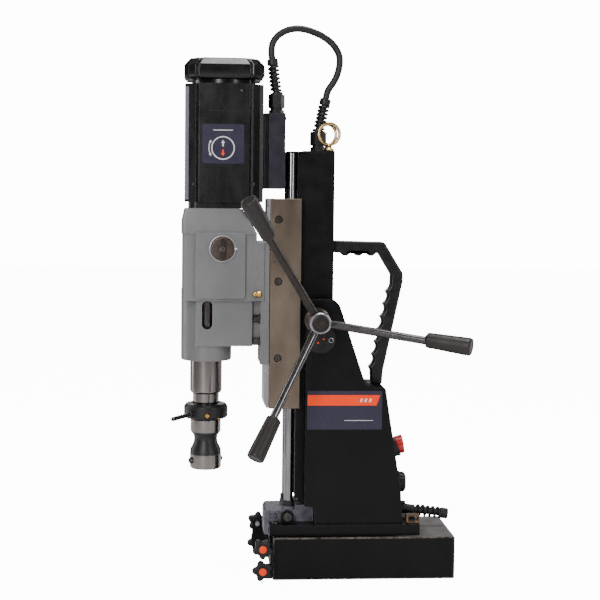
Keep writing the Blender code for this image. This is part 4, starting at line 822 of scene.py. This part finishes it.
def build_eye_bolt(name, turn):
    low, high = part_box(name)
    across = Vector((math.cos(turn), math.sin(turn), 0.0))
    centre = Vector(((low.x + high.x) / 2, (low.y + high.y) / 2, high.z - 0.0173))
    major, minor = 0.0150, 0.0023
    eye = Shape(name + "_ring")
    ring = [centre + across * (major * math.cos(t)) + Vector((0.0, 0.0, major * math.sin(t)))
            for t in (2 * math.pi * i / 56 for i in range(56))]
    eye.tube(ring, minor, "zinc", 14, closed=True)
    eye.turned([(0.0, 0.0), (0.0040, 0.0), (0.0040, 0.0029), (0.0074, 0.0030), (0.0078, 0.0036),
                (0.0078, 0.0047), (0.0066, 0.0056), (0.0042, 0.0080), (0.0032, 0.0115), (0.0030, 0.0132),
                (0.0, 0.0132)], (centre.x, centre.y, low.z), (0, 0, 1), "zinc", 32)
    eye.done("stand", "yellow_zinc", name)


def build_housing_label():
    """A plain label: film, an orange band with a slanted end between thin lines, and no lettering."""
    face = -0.0500
    x0, x1, z0, z1 = -0.0826, 0.0243, 0.2128, 0.2680
    width, height = x1 - x0, z1 - z0
    label = Shape("housing_label")
    centre = ((x0 + x1) / 2, (z0 + z1) / 2)
    label.prism(rounded_rectangle(width / 2, height / 2, 0.0015, centre), face + 0.0002, face - 0.0004, "Y",
                "label", 0.0001, 2)
    top, low = z1 - 0.107 * height, z1 - 0.379 * height
    slant = [(x0 + 0.0006, low), (x0 + 0.926 * width, low), (x0 + 0.973 * width, top), (x0 + 0.0006, top)]
    line = [(x0 + 0.0006, low - 0.0009), (x0 + 0.931 * width, low - 0.0009),
            (x0 + 0.982 * width, top + 0.0009), (x0 + 0.0006, top + 0.0009)]
    label.prism(line, face, face - 0.00048, "Y", "label_navy")
    label.prism(slant, face, face - 0.00056, "Y", "label_orange")
    for i in range(3):
        at = x0 + (0.70 + 0.06 * i) * width
        bar = [(at, low + 0.005), (at + 0.003, low + 0.005), (at + 0.0046, top - 0.005),
               (at + 0.0016, top - 0.005)]
        label.prism(bar, face, face - 0.00062, "Y", "white")
    rule = [(x0 + 0.50 * width, z0 + 0.0125), (x0 + 0.88 * width, z0 + 0.0125),
            (x0 + 0.88 * width, z0 + 0.0133), (x0 + 0.50 * width, z0 + 0.0133)]
    label.prism(rule, face, face - 0.0005, "Y", "white")
    label.done("stand", "black_plastic")


def build_dial_marks():
    low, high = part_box("lock_dial")
    face = low.y
    marks = Shape("dial_marks")
    for x, z in ((-0.0686, 0.3368), (-0.0607, 0.3419)):
        marks.turned([(0.0, -0.0002), (0.0014, -0.0002), (0.0014, 0.0003), (0.0, 0.0004)], (x, face, z),
                     (0, -1, 0), "orange", 20)
    centre = Vector((-0.0503, face - 0.0006, 0.3405))
    ring = [centre + Vector((0.0030 * math.cos(t), 0.0, 0.0030 * math.sin(t)))
            for t in (2 * math.pi * i / 28 for i in range(28))]
    marks.tube(ring, 0.0006, "steel", 8, closed=True)
    marks.done("stand", "black_plastic")


def build_base_details():
    """Socket screws: one in each ear beside the casting, and four that hold the magnet to the stand."""
    details = Shape("base_screws")
    for side in (-1, 1):
        socket_screw(details, (-0.1082, side * 0.0399, 0.0856), (0, side, 0), 0.0062, 0.0046)
        for x in (-0.1255, 0.0700):
            socket_screw(details, (x, side * 0.0460, 0.0764), (0, 0, 1), 0.0046, 0.0040)
    details.done("stand", "dark_steel")


# ---------------------------------------------------------------- capstan

def refine_capstan():
    refine("pinion_shaft", "dark_steel", 0.0002)
    refine("capstan_hub", "dark_steel", 0.0005)
    for number in (1, 2, 3):
        refine("lever_%d" % number, LEVER_PAINTED_TONE[number], 0.0004)


def build_hub_details():
    x, _, z = JOINTS["capstan_turn"]["pos_m"]
    tip = -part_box("capstan_hub")[0].y
    hub = Shape("hub_ring_and_cap")
    hub.turned([(0.0118, 0.1085), (0.0148, 0.1085), (0.0150, 0.1092), (0.0146, 0.1108), (0.0134, 0.1118),
                (0.0118, 0.1118)], (x, 0.0, z), (0, -1, 0), "steel", 56, closed=True)
    hub.turned([(0.0, 0.1100), (0.0122, 0.1100), (0.0123, 0.1128), (0.0117, 0.1142), (0.0100, 0.1148),
                (0.0096, 0.1143), (0.0, 0.1146)], (x, 0.0, z), (0, -1, 0), "plastic", 56)
    hub.turned([(0.0, tip - 0.0010), (0.0022, tip - 0.0010), (0.0020, tip - 0.0001), (0.0, tip)], (x, 0.0, z),
               (0, -1, 0), "screw", 24)
    hub.done("capstan", "dark_steel")


def lever_frame(number):
    """A lever's foot and direction, from its CAD solid."""
    vertices = [v.co for v in NODES["lever_%d" % number].data.vertices]
    x, _, z = JOINTS["capstan_turn"]["pos_m"]
    hub = Vector((x, -0.095, z))
    near = sorted(vertices, key=lambda v: (v - hub).length)
    first = near[:len(near) // 3]
    last = near[-(len(near) // 3):]
    start = sum(first, Vector()) / len(first)
    end = sum(last, Vector()) / len(last)
    return start, (end - start).normalized(), (end - start).length


def build_grip(number):
    """A lever's grip: a slightly flared handle with a domed end and a parting ring."""
    start, along, length = lever_frame(number)
    foot = start + along * (length - 0.018)
    grip = Shape("lever_grip_%d" % number)
    grip.turned([(0.0057, 0.0), (0.0084, 0.0), (0.0096, 0.0005), (0.0102, 0.0014), (0.0105, 0.0030),
                 (0.0110, 0.0180), (0.0116, 0.0360), (0.0121, 0.0520), (0.0122, 0.0575), (0.0120, 0.0598),
                 (0.0114, 0.0612), (0.0104, 0.0619), (0.0097, 0.0617), (0.0092, 0.0611), (0.0, 0.0608)],
                foot, along, "grip", 48)
    grip.turned([(0.0057, -0.0016), (0.0068, -0.0016), (0.0070, 0.0004), (0.0057, 0.0004)], foot, along,
                "dark_steel", 32, closed=True)
    grip.done("capstan", "grip_plastic", "grip_%d" % number)


# ---------------------------------------------------------------- carriage

def refine_carriage():
    for name, key, width in (
            ("slide_block", "steel", 0.0006), ("slide_plate_left", "plate", 0.0004),
            ("slide_plate_right", "plate", 0.0004), ("feed_rack", "dark_steel", 0.0002),
            ("gearbox_housing", "grey", 0.0014), ("spindle_bearing_lower", "steel", 0.0004),
            ("spindle_bearing_upper", "steel", 0.0004), ("motor_housing", "motor", 0.0010),
            ("motor_cap", "cap", 0.0009), ("motor_stator", "copper", 0.0004),
            ("terminal_box", "black", 0.0014), ("terminal_box_cover", "violet", 0.0018)):
        refine(name, key, width)


def build_slide_screws():
    screws = Shape("slide_screws")
    outer = -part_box("slide_plate_left")[0].y
    for side in (-1, 1):
        for z in (0.3131, 0.4218, 0.509):
            socket_screw(screws, (-0.1245, side * (outer - 0.0044), z), (0, side, 0), 0.0049, 0.0034)
        screws.turned([(0.0, -0.0005), (0.0010, -0.0005), (0.0010, 0.00005), (0.0, 0.00005)],
                      (-0.1302, side * outer, 0.4495), (0, side, 0), "cable", 16)
    screws.done("carriage", "dark_steel")


def build_gearbox_details():
    flange_x = -0.1490
    details = Shape("gearbox_fasteners")
    for side in (-1, 1):
        for z in (0.3690, 0.3365):
            details.turned([(0.0, 0.0), (0.0070, 0.0), (0.0072, 0.0012), (0.0058, 0.0018), (0.0, 0.0018)],
                           (flange_x, side * 0.0345, z), (-1, 0, 0), "screw", 32)
            socket_screw(details, (flange_x - 0.0014, side * 0.0345, z), (-1, 0, 0), 0.0052, 0.0085)
    details.done("carriage", "dark_steel")
    nipple = Shape("grease_nipple")
    nipple.turned([(0.0, 0.0), (0.0042, 0.0, 6), (0.0042, 0.0036, 6), (0.0030, 0.0042), (0.0026, 0.0056),
                   (0.0035, 0.0064), (0.0036, 0.0082), (0.0028, 0.0098), (0.0014, 0.0104), (0.0, 0.0104)],
                  (-0.1505, -0.0466, 0.4040), (-1, -0.25, 0), "brass", 28)
    nipple.turned([(0.0, 0.0), (0.0034, 0.0), (0.0036, 0.0006), (0.0036, 0.0040), (0.0028, 0.0052),
                  (0.0, 0.0052)], (-0.1512, -0.0438, 0.4040), (0, -1, 0), "brass", 28)
    nipple.done("carriage", "bronze")


def build_selector(tag):
    """The gear selector: a browned disc with a raised bar, in a bright ring on the gearbox."""
    joint = JOINTS["selector_%s_turn" % tag]
    x, _, z = joint["pos_m"]
    side = 1.0 if tag == "right" else -1.0
    place, axis = (x, 0.0, z), (0, side, 0)
    knob = Shape("selector_knob_" + tag)
    knob.turned([(0.0, 0.0396), (0.0050, 0.0396), (0.0050, 0.0524), (0.0155, 0.0524), (0.0163, 0.0532),
                 (0.0163, 0.0574), (0.0155, 0.0586), (0.0140, 0.0590), (0.0, 0.0590)], place, axis,
                 "selector", 56)
    knob.prism(rounded_rectangle(0.0036, 0.0148, 0.0022, (x, z), 4), side * 0.0580, side * 0.0640, "Y",
               "selector_bar", 0.0007, 3)
    knob.turned([(0.0016, 0.0634), (0.0030, 0.0634), (0.0030, 0.0646), (0.0016, 0.0646)], place, axis,
                "selector", 24, closed=True)
    knob.turned([(0.0, 0.0636), (0.0016, 0.0636), (0.0016, 0.0642), (0.0, 0.0642)], place, axis, "cable", 24)
    knob.done(joint["child"], "dark_steel", "gear_selector_" + tag)
    ring = Shape("selector_ring_" + tag)
    ring.turned([(0.0167, 0.0516), (0.0194, 0.0516), (0.0194, 0.0532), (0.0182, 0.0552), (0.0172, 0.0554),
                 (0.0167, 0.0548)], place, axis, "selector_rim", 64, closed=True)
    ring.prism([(x + 0.0165, z - 0.0012), (x + 0.0205, z - 0.0012), (x + 0.0205, z + 0.0012),
                (x + 0.0165, z + 0.0012)], side * 0.0516, side * 0.0557, "Y", "white")
    ring.done("carriage", "grey_paint")


def build_motor_label():
    """Film with a ring, an arrow up, an arrow down and a curved double arrow; no lettering."""
    face = -0.0550
    x0, x1, z0, z1 = -0.2328, -0.1748, 0.5862, 0.6408
    label = Shape("motor_label")
    centre = ((x0 + x1) / 2, (z0 + z1) / 2)
    label.prism(rounded_rectangle((x1 - x0) / 2, (z1 - z0) / 2, 0.0008, centre), face + 0.0002, face - 0.0004,
                "Y", "label", 0.0001, 2)
    ring = (-0.2040, 0.6078)
    label.turned([(0.0147, 0.0), (0.0163, 0.0), (0.0163, 0.00055), (0.0147, 0.00055)],
                 (ring[0], face, ring[1]), (0, -1, 0), "white", 64, closed=True)
    for sign, key in ((1, "white"), (-1, "label_orange")):
        def at(dx, dz):
            return (ring[0] + dx, ring[1] + sign * dz)
        arrow = [at(-0.0011, 0.0022), at(0.0011, 0.0022), at(0.0011, 0.0070), at(0.0027, 0.0070),
                 at(0.0, 0.0112), at(-0.0027, 0.0070), at(-0.0011, 0.0070)]
        label.prism(arrow, face, face - 0.00055, "Y", key)
    reach, half = 0.0195, math.radians(24)
    arc = [math.pi - half + 2 * half * i / 12 for i in range(13)]
    outer = [(ring[0] + (reach + 0.0006) * math.cos(t), ring[1] + (reach + 0.0006) * math.sin(t)) for t in arc]
    inner = [(ring[0] + (reach - 0.0006) * math.cos(t), ring[1] + (reach - 0.0006) * math.sin(t))
             for t in reversed(arc)]
    label.prism(outer + inner, face, face - 0.00055, "Y", "white")
    for end, way in ((arc[0], -1), (arc[-1], 1)):
        tip = Vector((math.cos(end), math.sin(end)))
        along = Vector((-tip.y, tip.x)) * way
        middle = Vector(ring) + tip * reach
        head = [tuple(middle + tip * 0.0020), tuple(middle - tip * 0.0020), tuple(middle + along * 0.0034)]
        label.prism(head, face, face - 0.00055, "Y", "white")
    label.prism([(-0.2175, 0.6318), (-0.1905, 0.6318), (-0.1905, 0.6329), (-0.2175, 0.6329)], face,
                face - 0.0005, "Y", "white")
    label.done("carriage", "black_plastic")
    ledge = Shape("motor_ledge")
    ledge.prism(rounded_rectangle(0.0300, 0.0009, 0.0004, (-0.2036, 0.5835), 3), face + 0.0005, face - 0.0012,
                "Y", "motor", 0.0004, 2)
    ledge.done("carriage", "black_paint")


def build_motor_details():
    screws = Shape("motor_screws")
    button_screw(screws, (-0.1788, -0.0534, 0.6873), (0, -1, 0), 0.0021, 0.0012)
    for x in (-0.2435, -0.1605):
        for side in (-1, 1):
            button_screw(screws, (x, side * 0.0468, 0.5575), (0, side, 0), 0.0024, 0.0022)
    low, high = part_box("terminal_box_cover")
    for y in (low.y + 0.006, high.y - 0.006):
        for z in (low.z + 0.007, high.z - 0.007):
            socket_screw(screws, (high.x - 0.0003, y, z), (1, 0, 0), 0.0027, 0.0016)
    screws.done("carriage", "dark_steel")
    # Painted reflection: a pale strip on both corner chamfers at the motor's -X side, standing for a lamp's
    # reflection.
    band = Shape("motor_painted_reflection_strips")
    for side in (-1, 1):
        outline = [(-0.2568, side * 0.03465), (-0.2569, side * 0.0349), (-0.2508, side * 0.0374),
                   (-0.2507, side * 0.0371)]
        band.prism(outline, 0.536, 0.693, "Z", "painted_reflection")
    band.done("carriage", "black_paint")


# ---------------------------------------------------------------- spindle

def refine_spindle():
    refine("spindle", "turned", 0.0004)
    refine("arbor", "arbor", 0.0004)
    refine("motor_rotor", "dark_steel", 0.0002)
    refine("layshaft", "dark_steel", 0.0002)


def build_coolant_ring():
    x = JOINTS["coolant_swivel"]["pos_m"][0]
    base = 0.2233
    ring = Shape("coolant_collar_ring")
    ring.turned([(0.0163, 0.0), (0.0290, 0.0), (0.0300, 0.0006), (0.0314, 0.0026), (0.0315, 0.0034),
                 (0.0315, 0.0160), (0.0309, 0.0174), (0.0290, 0.0200), (0.0280, 0.0207), (0.0206, 0.0220),
                 (0.0205, 0.0192), (0.0163, 0.0192)], (x, 0.0, base), (0, 0, 1), "plastic", 72, closed=True)
    turn = math.radians(229)
    out = Vector((math.cos(turn), math.sin(turn), 0.0))
    middle = Vector((x, 0.0, 0.2315))
    start, end = middle + out * 0.027, middle + out * 0.072 - Vector((0, 0, 0.003))
    along = (end - start).normalized()
    length = (end - start).length
    ring.turned([(0.0, 0.0), (0.0031, 0.0), (0.0032, length - 0.0004), (0.0028, length), (0.0018, length),
                 (0.0018, length - 0.0060), (0.0, length - 0.0060)], start, along, "turned", 28)
    ring.turned([(0.0, 0.0), (0.0042, 0.0), (0.0042, 0.0062), (0.0036, 0.0070), (0.0, 0.0070)],
                middle + out * 0.0285, along, "screw", 28)
    plug = Vector((0.06, -0.998, 0.0)).normalized()
    ring.turned([(0.0, 0.0), (0.0036, 0.0), (0.0036, 0.0012, 4), (0.0020, 0.0013), (0.0018, 0.0004),
                (0.0, 0.0004)], Vector((x, 0.0, 0.2300)) + plug * 0.0312, plug, "brass", 32)
    dot = Vector((0.57, -0.82, 0.0)).normalized()
    ring.turned([(0.0, 0.0), (0.0015, 0.0), (0.0013, 0.0010), (0.0, 0.0012)],
                Vector((x, 0.0, 0.2252)) + dot * 0.0302, dot, "brass", 20)
    ring.done("coolant_collar", "black_plastic", "coolant_ring")


def build_arbor_screws():
    x = JOINTS["spindle_spin"]["pos_m"][0]
    screws = Shape("arbor_screws")
    for degrees in (205, 25):
        out = Vector((math.cos(math.radians(degrees)), math.sin(math.radians(degrees)), 0.0))
        screws.turned([(0.0, 0.0), (0.0048, 0.0), (0.0048, 0.0022), (0.0030, 0.0044), (0.0024, 0.0044, 6),
                       (0.0022, 0.0020, 6), (0.0, 0.0018)], Vector((x, 0.0, 0.1618)) + out * 0.0216, out,
                      "screw", 28)
    screws.done("spindle_set", "dark_steel")


# ---------------------------------------------------------------- floor and the whole

def build_floor():
    floor = Shape("studio_floor").box((-9.0, -9.0, -0.02), (9.0, 9.0, 0.0), "floor").done(None, None)


def main():
    make_camera()
    make_world()
    make_lights()
    build_floor()
    build_cable()
    build_cable_gland("motor_gland_relief", "motor_gland", (-0.127, 0.0, 0.6582), 0.6865, CABLE_POINTS[0],
                      "carriage")
    build_cable_gland("column_gland_relief", "column_gland", (-0.0668, 0.0, 0.6065), 0.6345, CABLE_POINTS[-1],
                      "stand")
    build_mains_gland()
    refine_stand()
    for name in ("star_knob_upper_left", "star_knob_upper_right", "star_knob_lower_left",
                 "star_knob_lower_right"):
        build_star_knob(name)
    build_rear_controls()
    build_handle()
    build_eye_bolt("eye_bolt_left", 0.0)
    build_eye_bolt("eye_bolt_right", math.radians(-40))
    build_housing_label()
    build_dial_marks()
    build_base_details()
    refine_capstan()
    build_hub_details()
    for number in (1, 2, 3):
        build_grip(number)
    refine_carriage()
    build_slide_screws()
    build_gearbox_details()
    build_selector("left")
    build_selector("right")
    build_motor_label()
    build_motor_details()
    refine_spindle()
    build_coolant_ring()
    build_arbor_screws()


main()
